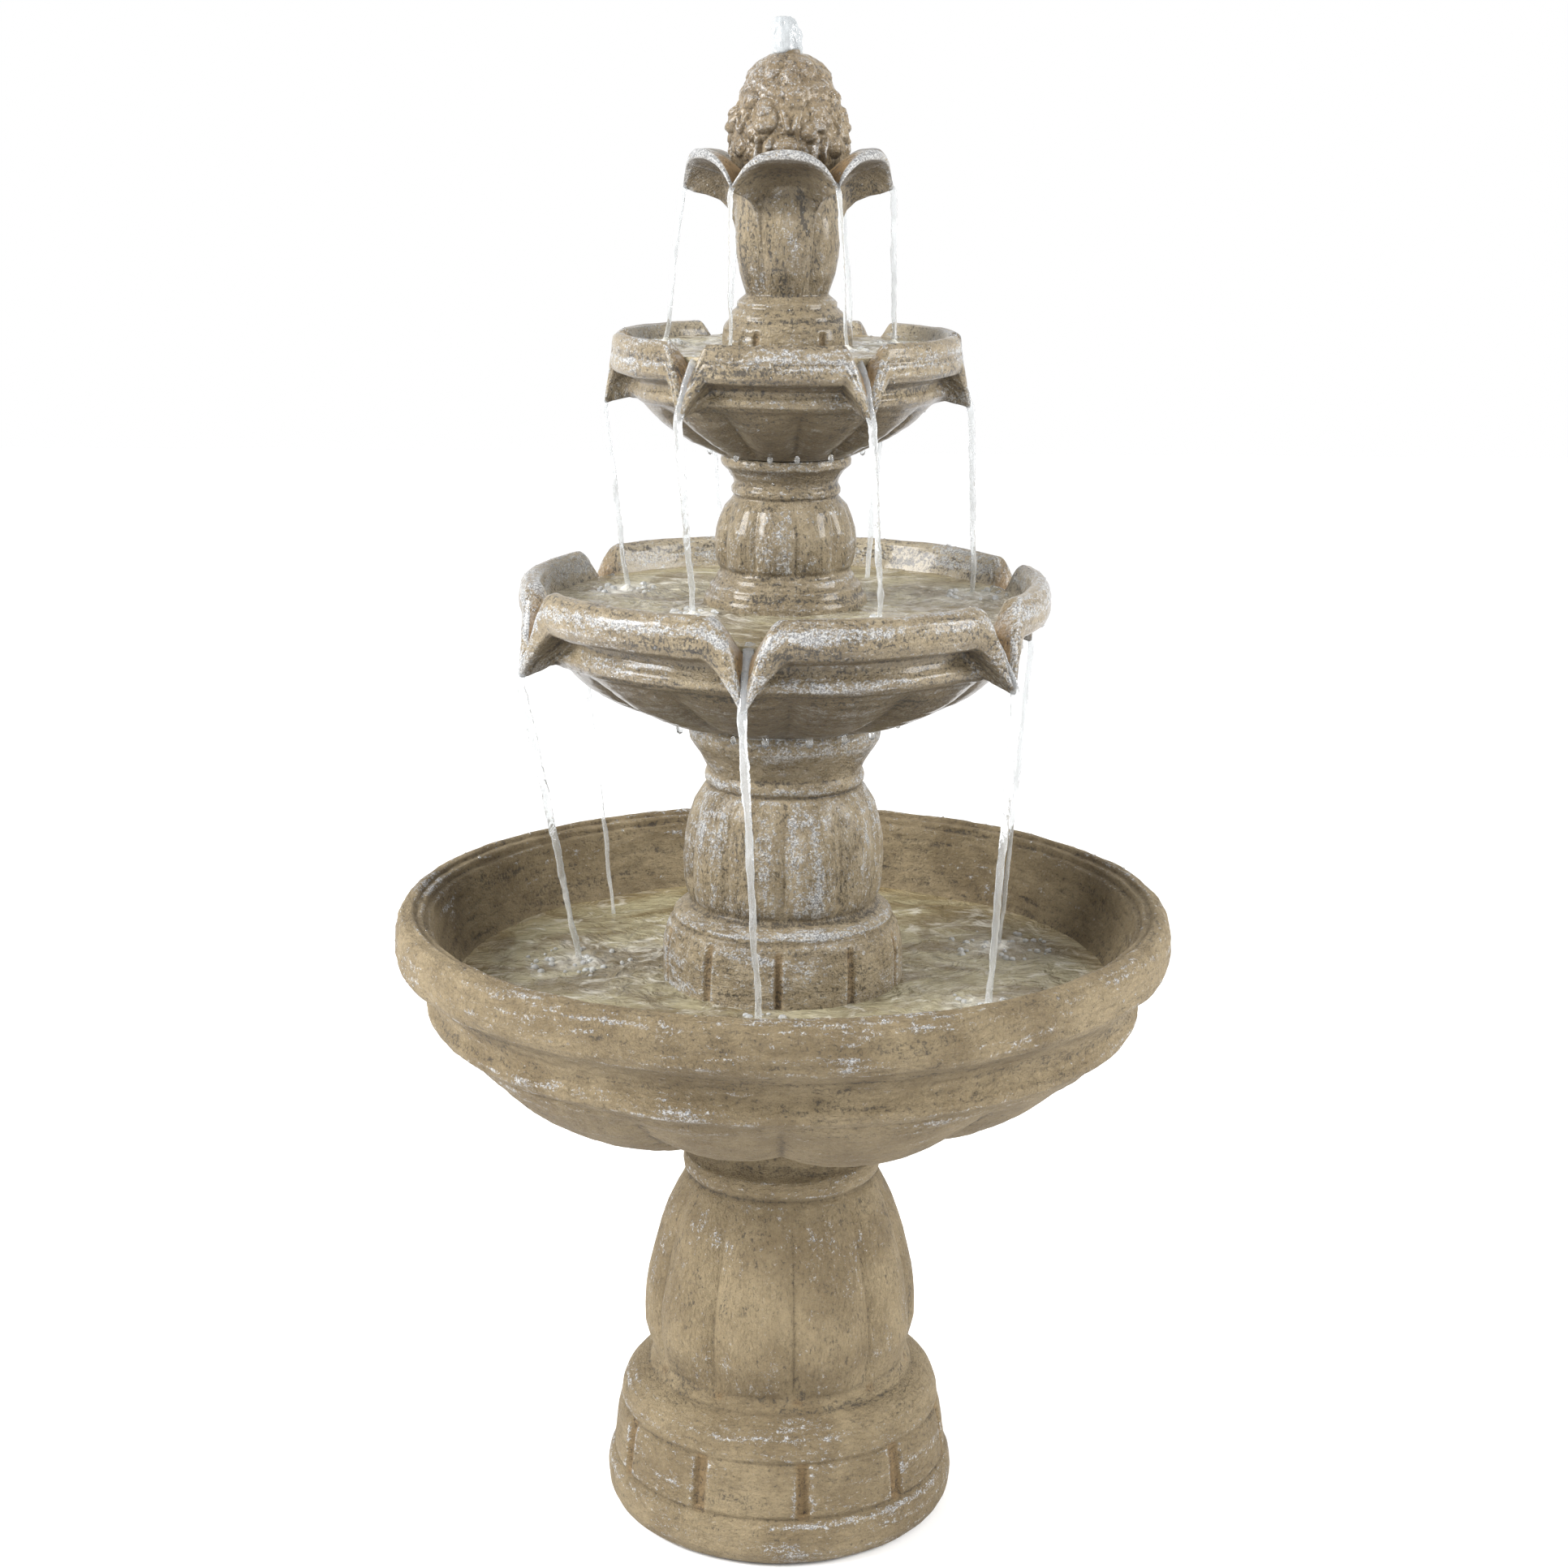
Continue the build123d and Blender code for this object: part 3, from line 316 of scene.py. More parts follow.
def plain_casting(
    name, body, corners, rows, columns, grooves, gaps, material, depth, seed,
    shift=None, spread=0.6, notch=0.0,
):
    """A turned casting with flutes and raised blocks.

    Each corner is (radius, height, flute depth, gap depth, upright, weight). notch is how high a
    doorway is cut in the bottom edge at the back: inside it, all that is lower is pressed up to it.
    """
    profile = round_the_corners(corners, rows, spread)
    radius, height, flute, gap, upright, _ = profile.T
    out_r, out_z = outline_normals(radius, height)
    angle = np.arange(columns)[None, :] * (360 / columns)
    sunk = flute[:, None] * flutes(angle, grooves)
    stain = np.zeros_like(sunk)
    if gaps is not None:
        pattern = gap_pattern(angle, *gaps)
        sunk = sunk + gap[:, None] * pattern
        stain = 0.6 * np.minimum(gap[:, None], 1) * pattern
    wide = radius[:, None] - sunk * out_r[:, None]
    tall = height[:, None] - sunk * out_z[:, None]
    doorway = 0.98 * gap_pattern(angle, 1, BACK, DOORWAY_HALF, 0.5)
    tall = tall + np.clip(notch - tall, 0, None) * doorway
    moved = None if shift is None else shift(radius)[:, None]
    return casting(
        name, body, wide, tall, angle, upright[:, None], stain, material, depth, seed, moved
    )


ROWS = 200
COLUMNS = 480


# ---------------------------------------------------------------- node help
def linear(red, green, blue):
    """A colour given as 0 to 255 display values, as the linear values that shaders use."""
    parts = [value / 255 for value in (red, green, blue)]
    return tuple(v / 12.92 if v <= 0.04045 else ((v + 0.055) / 1.055) ** 2.4 for v in parts) + (1.0,)


class Nodes:
    """A material and the short calls that wire its nodes."""

    def __init__(self, name):
        self.material = bpy.data.materials.new(name)
        self.material.use_nodes = True
        self.tree = self.material.node_tree
        self.shader = self.tree.nodes["Principled BSDF"]

    def node(self, kind, **settings):
        made = self.tree.nodes.new("ShaderNode" + kind)
        for key, value in settings.items():
            setattr(made, key, value)
        return made

    def join(self, source, target):
        """Links an output to an input, or sets the input if source is a plain value."""
        if isinstance(source, bpy.types.NodeSocket):
            self.tree.links.new(source, target)
        else:
            target.default_value = source

    def set(self, **values):
        for key, value in values.items():
            self.join(value, self.shader.inputs[key.replace("_", " ")])

    def place(self):
        return self.node("TexCoord").outputs["Object"]

    def attribute(self, name):
        return self.node("Attribute", attribute_name=name).outputs["Fac"]

    def math(self, operation, first, second=0.0, third=0.0, clamp=False):
        made = self.node("Math", operation=operation, use_clamp=clamp)
        for value, socket in zip((first, second, third), made.inputs):
            self.join(value, socket)
        return made.outputs[0]

    def stretched(self, vector, scale):
        made = self.node("Mapping")
        self.join(vector, made.inputs["Vector"])
        made.inputs["Scale"].default_value = scale
        return made.outputs[0]

    def noise(self, vector, scale, detail=3.0, rough=0.55, warp=0.0):
        made = self.node("TexNoise")
        self.join(vector, made.inputs["Vector"])
        settings = {"Scale": scale, "Detail": detail, "Roughness": rough, "Distortion": warp}
        for key, value in settings.items():
            made.inputs[key].default_value = value
        return made.outputs["Fac"]

    def step(self, value, low, high, result_low=0.0, result_high=1.0):
        """value from low to high, as a smooth step from result_low to result_high."""
        made = self.node("MapRange", interpolation_type="SMOOTHSTEP")
        for socket, given in zip(made.inputs, (value, low, high, result_low, result_high)):
            self.join(given, socket)
        return made.outputs[0]

    def mix(self, factor, first, second):
        made = self.node("Mix", data_type="RGBA")
        self.join(factor, made.inputs[0])
        self.join(first, made.inputs[6])
        self.join(second, made.inputs[7])
        return made.outputs[2]

    def blend_numbers(self, factor, first, second):
        made = self.node("Mix", data_type="FLOAT")
        self.join(factor, made.inputs[0])
        self.join(first, made.inputs[2])
        self.join(second, made.inputs[3])
        return made.outputs[0]

    def bump(self, height, strength, distance, normal=None):
        made = self.node("Bump")
        made.inputs["Strength"].default_value = strength
        made.inputs["Distance"].default_value = distance
        self.join(height, made.inputs["Height"])
        if normal is not None:
            self.join(normal, made.inputs["Normal"])
        return made.outputs[0]


# ---------------------------------------------------------------- stone finishes
TAN_PALE = linear(138, 123, 95)
TAN_DEEP = linear(112, 97, 71)
# A pale limewash tan, also used as a painted reflection on wet inner walls.
LIMEWASH_AND_REFLECTION_TAN = linear(186, 174, 150)
OCHRE = linear(132, 102, 62)
# The two washes are paint, and they also carry painted shade: both in the recesses, the brown also
# under things.
DARK_WASH_AND_SHADE = linear(40, 39, 40)
BROWN_WASH_AND_SHADE = linear(84, 72, 54)
BRUSH_PALE = linear(205, 207, 208)
BRUSH_GREY = linear(132, 136, 142)


def weathered_stone(name, wet, brushing):
    """Painted cast stone: tan, a dark wash in the recesses that also paints shade into them, pale dry
    brushing on the ridges and lips, where the lips' pale paint also serves as a painted highlight,
    painted shade on faces that look down, and on wet walls that face the axis pale paint with a
    painted reflection.

    wet (0 to 1) darkens the wash and the painted shade, strengthens that painted reflection and adds
    a clear film over the paint. brushing (0 to 1) says how much of the pale paint there is.
    """
    m = Nodes(name)
    place = m.place()
    relief = m.attribute("relief")
    upright = m.attribute("upright")
    stain = m.attribute("stain")
    apart = m.node("SeparateXYZ")
    m.join(place, apart.inputs[0])
    around = m.node("CombineXYZ")
    sources = (apart.outputs[0], apart.outputs[1], m.attribute("path"))
    for socket, source in zip(around.inputs, sources):
        m.join(source, socket)
    round_strokes = m.noise(m.stretched(around.outputs[0], (120, 120, 270)), 1.0, 4, 0.65, 0.8)
    up_strokes = m.noise(m.stretched(place, (280, 280, 100)), 1.0, 4, 0.65, 0.8)
    strokes = m.blend_numbers(upright, round_strokes, up_strokes)
    round_bands = m.noise(m.stretched(around.outputs[0], (8, 8, 70)), 1.0, 3, 0.6, 0.3)
    up_bands = m.noise(m.stretched(place, (60, 60, 9)), 1.0, 3, 0.6, 0.3)
    bands = m.blend_numbers(upright, round_bands, up_bands)
    patches = m.noise(place, 12.0, 4, 0.6, 0.3)
    blotches = m.noise(place, 60.0, 4, 0.65, 0.5)
    grain = m.noise(place, 620.0, 3, 0.65)
    flakes = m.noise(place, 260.0, 4, 0.7, 0.8)
    speckle = m.noise(m.stretched(place, (380, 380, 260)), 1.0, 4, 0.7, 0.5)
    flecks = m.noise(m.stretched(place, (300, 300, 330)), 1.0, 4, 0.75, 1.0)

    tan = m.mix(m.step(patches, 0.35, 0.65), TAN_PALE, TAN_DEEP)
    tan = m.mix(m.step(blotches, 0.50, 0.75, 0.0, 0.22), tan, BROWN_WASH_AND_SHADE)
    tan = m.mix(m.step(strokes, 0.34, 0.52, 0.30, 0.0), tan, BROWN_WASH_AND_SHADE)
    tan = m.mix(m.step(blotches, 0.3, 0.6, 0.4 * brushing, 0.1 * brushing), tan, LIMEWASH_AND_REFLECTION_TAN)
    # Pale paint with a painted reflection on wet walls that face the axis.
    tan = m.mix(m.math("MULTIPLY", m.attribute("inner_pale_paint_and_reflection"), 0.75 * wet), tan, LIMEWASH_AND_REFLECTION_TAN)
    tan = m.mix(m.math("MULTIPLY", stain, 0.7), tan, OCHRE)
    # Darker in the recesses: a brown wash, with painted shade there too.
    colour = m.mix(m.step(relief, 0.05, -0.9, 0.0, 0.55 + 0.2 * wet), tan, BROWN_WASH_AND_SHADE)
    # Painted shade: faces that look down are drawn towards the brown, more so when wet.
    under = m.math("MULTIPLY", m.attribute("shade"), 0.45 + 0.75 * wet, clamp=True)
    colour = m.mix(under, colour, BROWN_WASH_AND_SHADE)

    def gathered(*shares):
        """The sum of each field's distance from its middle value, times its share, plus a half."""
        total = 0.5
        for share, field in shares:
            total = m.math("MULTIPLY_ADD", m.math("SUBTRACT", field, 0.5), share, total)
        return total

    dark = gathered((-0.6, strokes), (-1.25, speckle), (-0.85, bands), (0.12, blotches))
    # Recesses lean towards the dark wash as well: painted shade.
    dark = m.math("MULTIPLY_ADD", relief, -0.20, dark)
    dark = m.step(dark, 0.60 - 0.07 * wet, 0.80 - 0.09 * wet, 0.0, 0.62 + 0.18 * wet)
    colour = m.mix(dark, colour, DARK_WASH_AND_SHADE)

    high = gathered((0.5, strokes), (1.0, flecks), (0.7, bands), (0.5, patches))
    high = m.math("MULTIPLY_ADD", relief, 0.30, high)
    # Lips (edge) take more pale paint, which also stands in for a painted highlight.
    high = m.math("MULTIPLY_ADD", m.attribute("edge"), 0.20, high)
    high = m.step(high, 0.67 - 0.15 * brushing, 0.84 - 0.16 * brushing, 0.0, 0.75)
    # Painted shade: faces that look down lose their pale paint; stains lose it too.
    unbrushed_shade_and_stain = m.math("MULTIPLY_ADD", m.attribute("shade"), 0.9, stain)
    high = m.math("MULTIPLY", high, m.math("SUBTRACT", 1.0, unbrushed_shade_and_stain, clamp=True))
    colour = m.mix(high, colour, m.mix(m.step(grain, 0.42, 0.6), BRUSH_GREY, BRUSH_PALE))
    colour = m.mix(m.step(grain, 0.36, 0.46, 0.22, 0.0), colour, DARK_WASH_AND_SHADE)

    surface = m.bump(grain, 0.6, 0.0010)
    surface = m.bump(flakes, 0.7, 0.0042, surface)
    surface = m.bump(strokes, 0.7, 0.0050, surface)
    m.set(Base_Color=colour, Normal=surface)
    m.set(Roughness=m.step(flakes, 0.3, 0.7, 0.62 - 0.25 * wet, 0.85 - 0.3 * wet))
    m.set(Specular_IOR_Level=0.3, Coat_Weight=0.7 * wet, Coat_Roughness=0.15, Coat_IOR=1.33)
    return m.material


DRY = weathered_stone("weathered_stone_dry", 0.0, 0.1)
DAMP = weathered_stone("weathered_stone_damp", 0.3, 1.0)
WET = weathered_stone("weathered_stone_wet", 0.9, 0.65)

# ---------------------------------------------------------------- pedestal
PEDESTAL = [
    # radius, height, flute depth, gap depth, upright, weight
    (149, 0, 0, 0, 0, 1),
    (156, 5, 0, 0, 0, 1),
    (160.5, 14, 0, 0, 0, 1),
    (161.5, 30, 0, 0, 0, 1),
    (160, 40, 0, 0, 0, 1.5),
    (157, 44, 0, 0, 0, 1.5),
    (154.2, 46, 0, 0.5, 0, 2),
    (155.8, 49.5, 0, 5, 0, 2),
    (155.4, 54, 0, 5, 0, 1),
    (151.6, 85, 0, 4.5, 0, 1.5),
    (149.2, 94, 0, 4.5, 0, 2),
    (146.8, 97, 0, 0.5, 0, 2),
    (148.4, 100, 0, 0, 0, 1.5),
    (147.5, 108, 0, 0, 0, 1),
    (144, 118, 0, 0, 0, 1),
    (137, 126, 0, 0, 0, 1),
    (128, 131, 0, 0, 0, 1.3),
    (123, 133, 0, 0, 0, 1.5),
    (120.5, 138, 0, 0, 0, 1.5),
    (117.5, 143, 0, 1, 0, 1.5),
    (116.5, 146, 0, 0, 1, 1.3),
    (118.8, 150, 3, 0, 1, 1),
    (122.2, 160, 6, 0, 1, 1),
    (126.6, 176, 7.5, 0, 1, 1),
    (126.7, 193, 7.5, 0, 1, 1),
    (125.4, 209, 7.2, 0, 1, 1),
    (122.9, 225, 7, 0, 1, 1),
    (119, 242, 6.6, 0, 1, 1),
    (115, 258, 6.2, 0, 1, 1),
    (110.4, 273, 5.6, 0, 1, 1),
    (105, 289, 4.8, 0, 1, 1),
    (97.6, 305, 3.2, 0, 1, 1.2),
    (90.5, 318, 1.2, 0, 1, 1.4),
    (86, 322, 0, 0, 0, 1.5),
    (90, 327, 0, 0, 0, 1.5),
    (91, 334, 0, 0, 0, 1.5),
    (89, 341, 0, 0, 0, 1.5),
    (84, 344, 0, 0, 0, 1.3),
    (80, 350, 0, 0, 0, 1),
    (79, 362, 0, 0, 0, 1),
    (82, 375, 0, 0, 0, 1),
    (86, 390, 0, 0, 0, 1),
    (75, 390, 0, 0, 0, 0.5),
    (70, 360, 0, 0, 0, 0.25),
    (76, 325, 0, 0, 0, 0.25),
    (105, 270, 0, 0, 0, 0.25),
    (112, 190, 0, 0, 0, 0.25),
    (106, 145, 0, 0, 0, 0.25),
    (138, 100, 0, 0, 0, 0.25),
    (148, 40, 0, 0, 0, 0.25),
    (140, 0, 0, 0, 0, 0.5),
]
plain_casting(
    "pedestal_casting", "pedestal", PEDESTAL, ROWS, COLUMNS, even(10, 6), (10, 8, 2.1, 0.3),
    DRY, 0.42, 11, notch=LEAD_NOTCH,
)

# ---------------------------------------------------------------- basin
BASIN = [
    (92, 390, 0, 0, 0, 0.5),
    (120, 391.5, 2, 0, 0.4, 0.7),
    (156, 395, 5, 0, 0.4, 1),
    (197, 401, 9, 0, 0.4, 1),
    (229, 412, 12, 0, 0.4, 1),
    (256, 426, 13, 0, 0.4, 1),
    (277, 441, 12, 0, 0.4, 1),
    (294, 458, 9, 0, 0.3, 1),
    (305, 471, 4, 0, 0, 1),
    (308, 479, 0, 0, 0, 2),
    (314, 481.5, 0, 0, 0, 2),
    (319.5, 486, 0, 0, 0, 2),
    (321, 493, 0, 0, 0, 2),
    (318, 499.5, 0, 0, 0, 2),
    (316.5, 504, 0, 0, 0, 1.4),
    (319, 514, 0, 0, 0, 1),
    (324, 522, 0, 0, 0, 1),
    (331, 528, 0, 0, 0, 1),
    (338, 532.5, 0, 0, 0, 2),
    (342.5, 534.5, 0, 0, 0, 2),
    (346, 540, 0, 0, 0, 1.6),
    (347.4, 550, 0, 0, 0, 1.4),
    (347.2, 562, 0, 0, 0, 1.4),
    (345.2, 572, 0, 0, 0, 1.6),
    (341, 578, 0, 0, 0, 2),
    (333, 580.5, 0, 0, 0, 3),
    (330.5, 579.5, 0, 0, 0, 3),
    (329.5, 576.5, 0, 0, 0, 3),
    (323.5, 576.5, 0, 0, 0, 3),
    (322, 575, 0, 0, 0, 3),
    (321.2, 570.5, 0, 0, 0, 3),
    (316.5, 569.5, 0, 0, 0, 2),
    (314, 564, 0, 0, 0, 1.2),
    (311, 550, 0, 0, 0, 1),
    (304, 530, 0, 0, 0, 1),
    (298, 515, 0, 0, 0, 1),
    (291, 502, 0, 0, 0, 0.5),
    (270, 475, 0, 0, 0, 0.2),
    (245, 450, 0, 0, 0, 0.2),
    (200, 422, 0, 0, 0, 0.2),
    (150, 408, 0, 0, 0, 0.2),
    (112, 400, 0, 0, 0, 0.2),
    (100, 400, 0, 0, 0, 0.3),
    (100, 408, 0, 0, 0, 0.3),
    (94, 408, 0, 0, 0, 0.3),
    (94, 400, 0, 0, 0, 0.3),
    (12.4, 400, 0, 0, 0, 0.2),
    (12.4, 390, 0, 0, 0, 0.2),
    (68, 390, 0, 0, 0, 0.3),
    (68, 378, 0, 0, 0, 0.3),
    (74, 378, 0, 0, 0, 0.3),
    (74, 390, 0, 0, 0, 0.3),
]
BASIN_GROOVES = [-60 + 60 * i + extra for i in range(6) for extra in (0, 36)] + [300]
STOPPER_SHIFT = 54
SEAT_EDGE = 68
STOPPER_HOLE = 12.4


def towards_stopper(radius):
    """How far back a ring of that radius is centred, so that the smallest go round the drain."""
    return STOPPER_SHIFT * np.clip((SEAT_EDGE - radius) / (SEAT_EDGE - STOPPER_HOLE), 0, 1)


plain_casting(
    "basin_casting", "basin", BASIN, ROWS * 23 // 20, COLUMNS * 5 // 6, BASIN_GROOVES, None,
    DRY, 1.25, 23, towards_stopper, 0.5,
)

# ---------------------------------------------------------------- columns
LOWER_COLUMN = [
    (108, 400, 0, 0, 0, 1),
    (108, 470, 0, 0, 0, 0.5),
    (108, 500, 0, 3, 0, 1),
    (108, 541, 0, 3, 0, 1.3),
    (107.2, 546, 0, 3, 0, 1.3),
    (104.8, 556, 0, 2, 0, 1.3),
    (102.6, 562, 0, 0, 0, 1.3),
    (99.8, 565, 0, 0, 0, 1.5),
    (98.3, 567, 0, 0, 0, 1.5),
    (98.6, 571, 0, 0, 0, 1.5),
    (96, 574.5, 0, 0, 0, 1.2),
    (90, 577.5, 0, 0, 0, 1.2),
    (84.1, 580, 0, 0, 0, 1.4),
    (82.6, 583.5, 1, 0, 1, 1.4),
    (85.3, 587, 3, 0, 1, 1.2),
    (87.4, 592, 4, 0, 1, 1),
    (88.8, 602, 5, 0, 1, 1),
    (89.4, 624, 5.4, 0, 1, 1),
    (88.4, 640, 5.4, 0, 1, 1),
    (85.2, 658, 4.6, 0, 1, 1),
    (80.6, 673, 3, 0, 1, 1),
    (72, 687, 1, 0, 1, 1.3),
    (68, 690, 0, 0, 0, 1.5),
    (71, 693.5, 0, 0, 0, 1.5),
    (71.6, 698, 0, 0, 0, 1.5),
    (70.2, 702, 0, 0, 0, 1.5),
    (69, 704, 0, 0, 0, 1.5),
    (71, 709, 0, 0, 0, 1.2),
    (73.6, 714, 0, 0, 0, 1.2),
    (77, 720, 0, 0, 0, 1.2),
    (80.8, 725, 0, 0, 0, 1.2),
    (84.3, 731, 0, 0, 0, 1.2),
    (85.2, 736, 0, 0, 0, 1.2),
    (85, 742, 0, 0, 0, 1.2),
    (82.5, 748, 0, 0, 0, 1.2),
    (62, 748, 0, 0, 0, 0.5),
    (62, 690, 0, 0, 0, 0.25),
    (72, 640, 0, 0, 0, 0.25),
    (72, 600, 0, 0, 0, 0.25),
    (95, 545, 0, 0, 0, 0.25),
    (101, 535, 0, 0, 0, 0.25),
    (101, 400, 0, 0, 0, 0.3),
]
UPPER_COLUMN = [
    (72, 757, 0, 0, 0, 0.4),
    (72, 835, 0, 0, 0, 1),
    (72, 852, 0, 0, 0, 1.3),
    (71.6, 857, 0, 0, 0, 1.3),
    (70, 860.5, 0, 0, 0, 1.3),
    (67.3, 862.5, 0, 0, 0, 1.4),
    (66.3, 866, 0, 0, 0, 1.4),
    (65.8, 869, 0, 0, 0, 1.4),
    (62.5, 871, 0, 0, 0, 1.4),
    (60.6, 874.5, 0, 0, 0, 1.4),
    (60, 877, 0, 0, 0, 1.4),
    (57.2, 880, 0, 0, 0, 1.4),
    (57, 883, 1, 0, 1, 1.4),
    (59.3, 886.5, 3, 0, 1, 1.2),
    (61.2, 896, 4, 0, 1, 1),
    (61.7, 906.5, 4.2, 0, 1, 1),
    (60.8, 917, 4, 0, 1, 1),
    (57.6, 928, 3.2, 0, 1, 1),
    (53.7, 937.5, 2, 0, 1, 1),
    (48, 943.5, 0.5, 0, 1, 1.3),
    (46, 946, 0, 0, 0, 1.4),
    (48, 949, 0, 0, 0, 1.4),
    (48, 953, 0, 0, 0, 1.4),
    (45.6, 957, 0, 0, 0, 1.4),
    (46.4, 961, 0, 0, 0, 1.3),
    (50.7, 968, 0, 0, 0, 1.3),
    (56.2, 973, 0, 0, 0, 1.3),
    (56.8, 977, 0, 0, 0, 1.3),
    (55.5, 981, 0, 0, 0, 1.2),
    (39, 981, 0, 0, 0, 0.5),
    (39, 945, 0, 0, 0, 0.3),
    (48, 910, 0, 0, 0, 0.3),
    (48, 885, 0, 0, 0, 0.3),
    (60, 855, 0, 0, 0, 0.3),
    (65, 845, 0, 0, 0, 0.3),
    (65, 757, 0, 0, 0, 0.3),
]
plain_casting(
    "lower_column_casting", "lower_column", LOWER_COLUMN, ROWS, COLUMNS, even(10, 0.5),
    (10, -2, 1.7, 0.3), DAMP, 0.45, 37,
)
plain_casting(
    "upper_column_casting", "upper_column", UPPER_COLUMN, ROWS, COLUMNS * 3 // 4, even(10, 8.7),
    None, WET, 0.42, 41,
)

# ---------------------------------------------------------------- spouted bowls
MIDDLE_BOWL = [
    # radius, height, flute depth, spout radius, spout height, half-width in degrees, power, weight
    (55, 736, 0, 55, 736, 6, 2, 0.4),
    (61, 736, 0, 61, 736, 6, 2, 0.4),
    (61, 748, 0, 61, 748, 6, 2, 0.4),
    (86, 748, 0, 86, 748, 6, 2, 0.8),
    (101, 750.5, 2, 101, 750.5, 6, 2, 1),
    (121, 756, 5, 121, 756, 6, 2, 1),
    (141, 764, 7, 141, 764, 6, 2, 1),
    (161, 774, 7.5, 161, 774, 6, 2, 1),
    (177, 785, 7, 177, 785, 6, 2, 1),
    (190, 797, 5, 190, 797, 6, 2, 1),
    (199, 807, 1, 199, 805, 6, 2, 1.3),
    (204, 809, 0, 205, 807, 6, 2, 1.4),
    (208.5, 814, 0, 211, 810, 6, 2, 1.4),
    (209, 820, 0, 216, 809, 6, 1.8, 1.4),
    (205, 826, 0, 220, 807, 6, 1.6, 1.4),
    (203.5, 831, 0, 225, 805, 6, 1.5, 1.3),
    (206, 837, 0, 230, 803, 6.5, 1.5, 1.2),
    (215, 840.5, 0, 236, 801, 8.0, 1.5, 1.3),
    (226, 841, 0, 241, 799.5, 9.4, 1.6, 1.6),
    (230, 844, 0, 243, 800, 9.3, 1.65, 1.6),
    (232.5, 851, 0, 243.5, 801.5, 8.9, 1.8, 1.3),
    (232.5, 861, 0, 242.5, 803.5, 8.4, 2, 1.2),
    (231, 869, 0, 240, 806, 8, 2.1, 1.3),
    (226.5, 875.5, 0, 237, 811, 7.8, 2.2, 1.5),
    (220, 877, 0, 232, 820, 7.7, 2.1, 1.4),
    (214.5, 874.5, 0, 226, 831, 7.8, 2, 1.4),
    (211.5, 868, 0, 217, 840, 8.0, 1.9, 1.2),
    (207, 855, 0, 208, 844, 8.4, 1.8, 1),
    (201, 838, 0, 201, 838, 9, 2, 0.6),
    (190, 815, 0, 190, 815, 9, 2, 0.25),
    (168, 792, 0, 168, 792, 9, 2, 0.25),
    (130, 770, 0, 130, 770, 9, 2, 0.25),
    (90, 758, 0, 90, 758, 9, 2, 0.25),
    (64, 757, 0, 64, 757, 9, 2, 0.4),
    (64, 765, 0, 64, 765, 9, 2, 0.4),
    (58, 765, 0, 58, 765, 9, 2, 0.4),
    (58, 757, 0, 58, 757, 9, 2, 0.4),
    (14.5, 757, 0, 14.5, 757, 9, 2, 0.25),
    (14.5, 748, 0, 14.5, 748, 9, 2, 0.25),
    (55, 748, 0, 55, 748, 9, 2, 0.4),
]
UPPER_BOWL = [
    (32, 969, 0, 32, 969, 6, 2, 0.4),
    (38, 969, 0, 38, 969, 6, 2, 0.4),
    (38, 981, 0, 38, 981, 6, 2, 0.4),
    (57, 981.3, 0, 57, 981.3, 6, 2, 1),
    (70, 987.5, 4, 70, 987.5, 6, 2, 1),
    (85, 994.5, 6, 85, 994.5, 6, 2, 1),
    (99, 1003, 6.5, 99, 1003, 6, 2, 1),
    (111, 1012, 6, 111, 1012, 6, 2, 1),
    (120, 1021, 4, 120, 1021, 6, 2, 1),
    (126, 1028, 1, 127, 1026, 6, 2, 1.4),
    (129, 1030, 0, 131, 1027, 6, 1.8, 1.4),
    (132.5, 1034, 0, 136, 1028, 6, 1.6, 1.4),
    (133, 1039, 0, 140, 1027, 6, 1.4, 1.4),
    (130.5, 1043, 0, 144, 1026, 6, 1.3, 1.4),
    (131, 1047, 0, 148, 1025, 6, 1.25, 1.3),
    (136, 1051, 0, 152, 1024, 6.6, 1.25, 1.3),
    (144, 1052.5, 0, 156, 1022.5, 7.6, 1.25, 1.6),
    (149, 1054, 0, 158, 1022.5, 7.8, 1.25, 1.6),
    (151.5, 1059, 0, 158.5, 1024.5, 7.6, 1.25, 1.4),
    (151.5, 1067, 0, 158, 1026.5, 7.4, 1.25, 1.3),
    (149.5, 1070.5, 0, 157, 1029, 7.2, 1.25, 1.5),
    (150.5, 1074, 0, 155.5, 1032, 7.2, 1.25, 1.4),
    (149.5, 1082.5, 0, 152.5, 1037, 7.2, 1.25, 1.4),
    (145.5, 1086, 0, 149, 1046, 7.2, 1.3, 1.6),
    (139.5, 1085, 0, 143, 1056, 7.3, 1.35, 1.4),
    (137, 1080, 0, 137, 1062, 7.6, 1.4, 1.2),
    (133.5, 1070, 0, 131, 1063, 8, 1.5, 0.8),
    (128, 1055, 0, 126, 1055, 9, 2, 0.4),
    (118, 1035, 0, 118, 1035, 9, 2, 0.25),
    (95, 1012, 0, 95, 1012, 9, 2, 0.25),
    (60, 996, 0, 60, 996, 9, 2, 0.25),
    (49, 995, 0, 49, 995, 9, 2, 0.4),
    (49, 1003, 0, 49, 1003, 9, 2, 0.4),
    (43, 1003, 0, 43, 1003, 9, 2, 0.4),
    (43, 995, 0, 43, 995, 9, 2, 0.4),
    (14.5, 995, 0, 14.5, 995, 9, 2, 0.25),
    (14.5, 981, 0, 14.5, 981, 9, 2, 0.25),
    (32, 981, 0, 32, 981, 9, 2, 0.4),
]


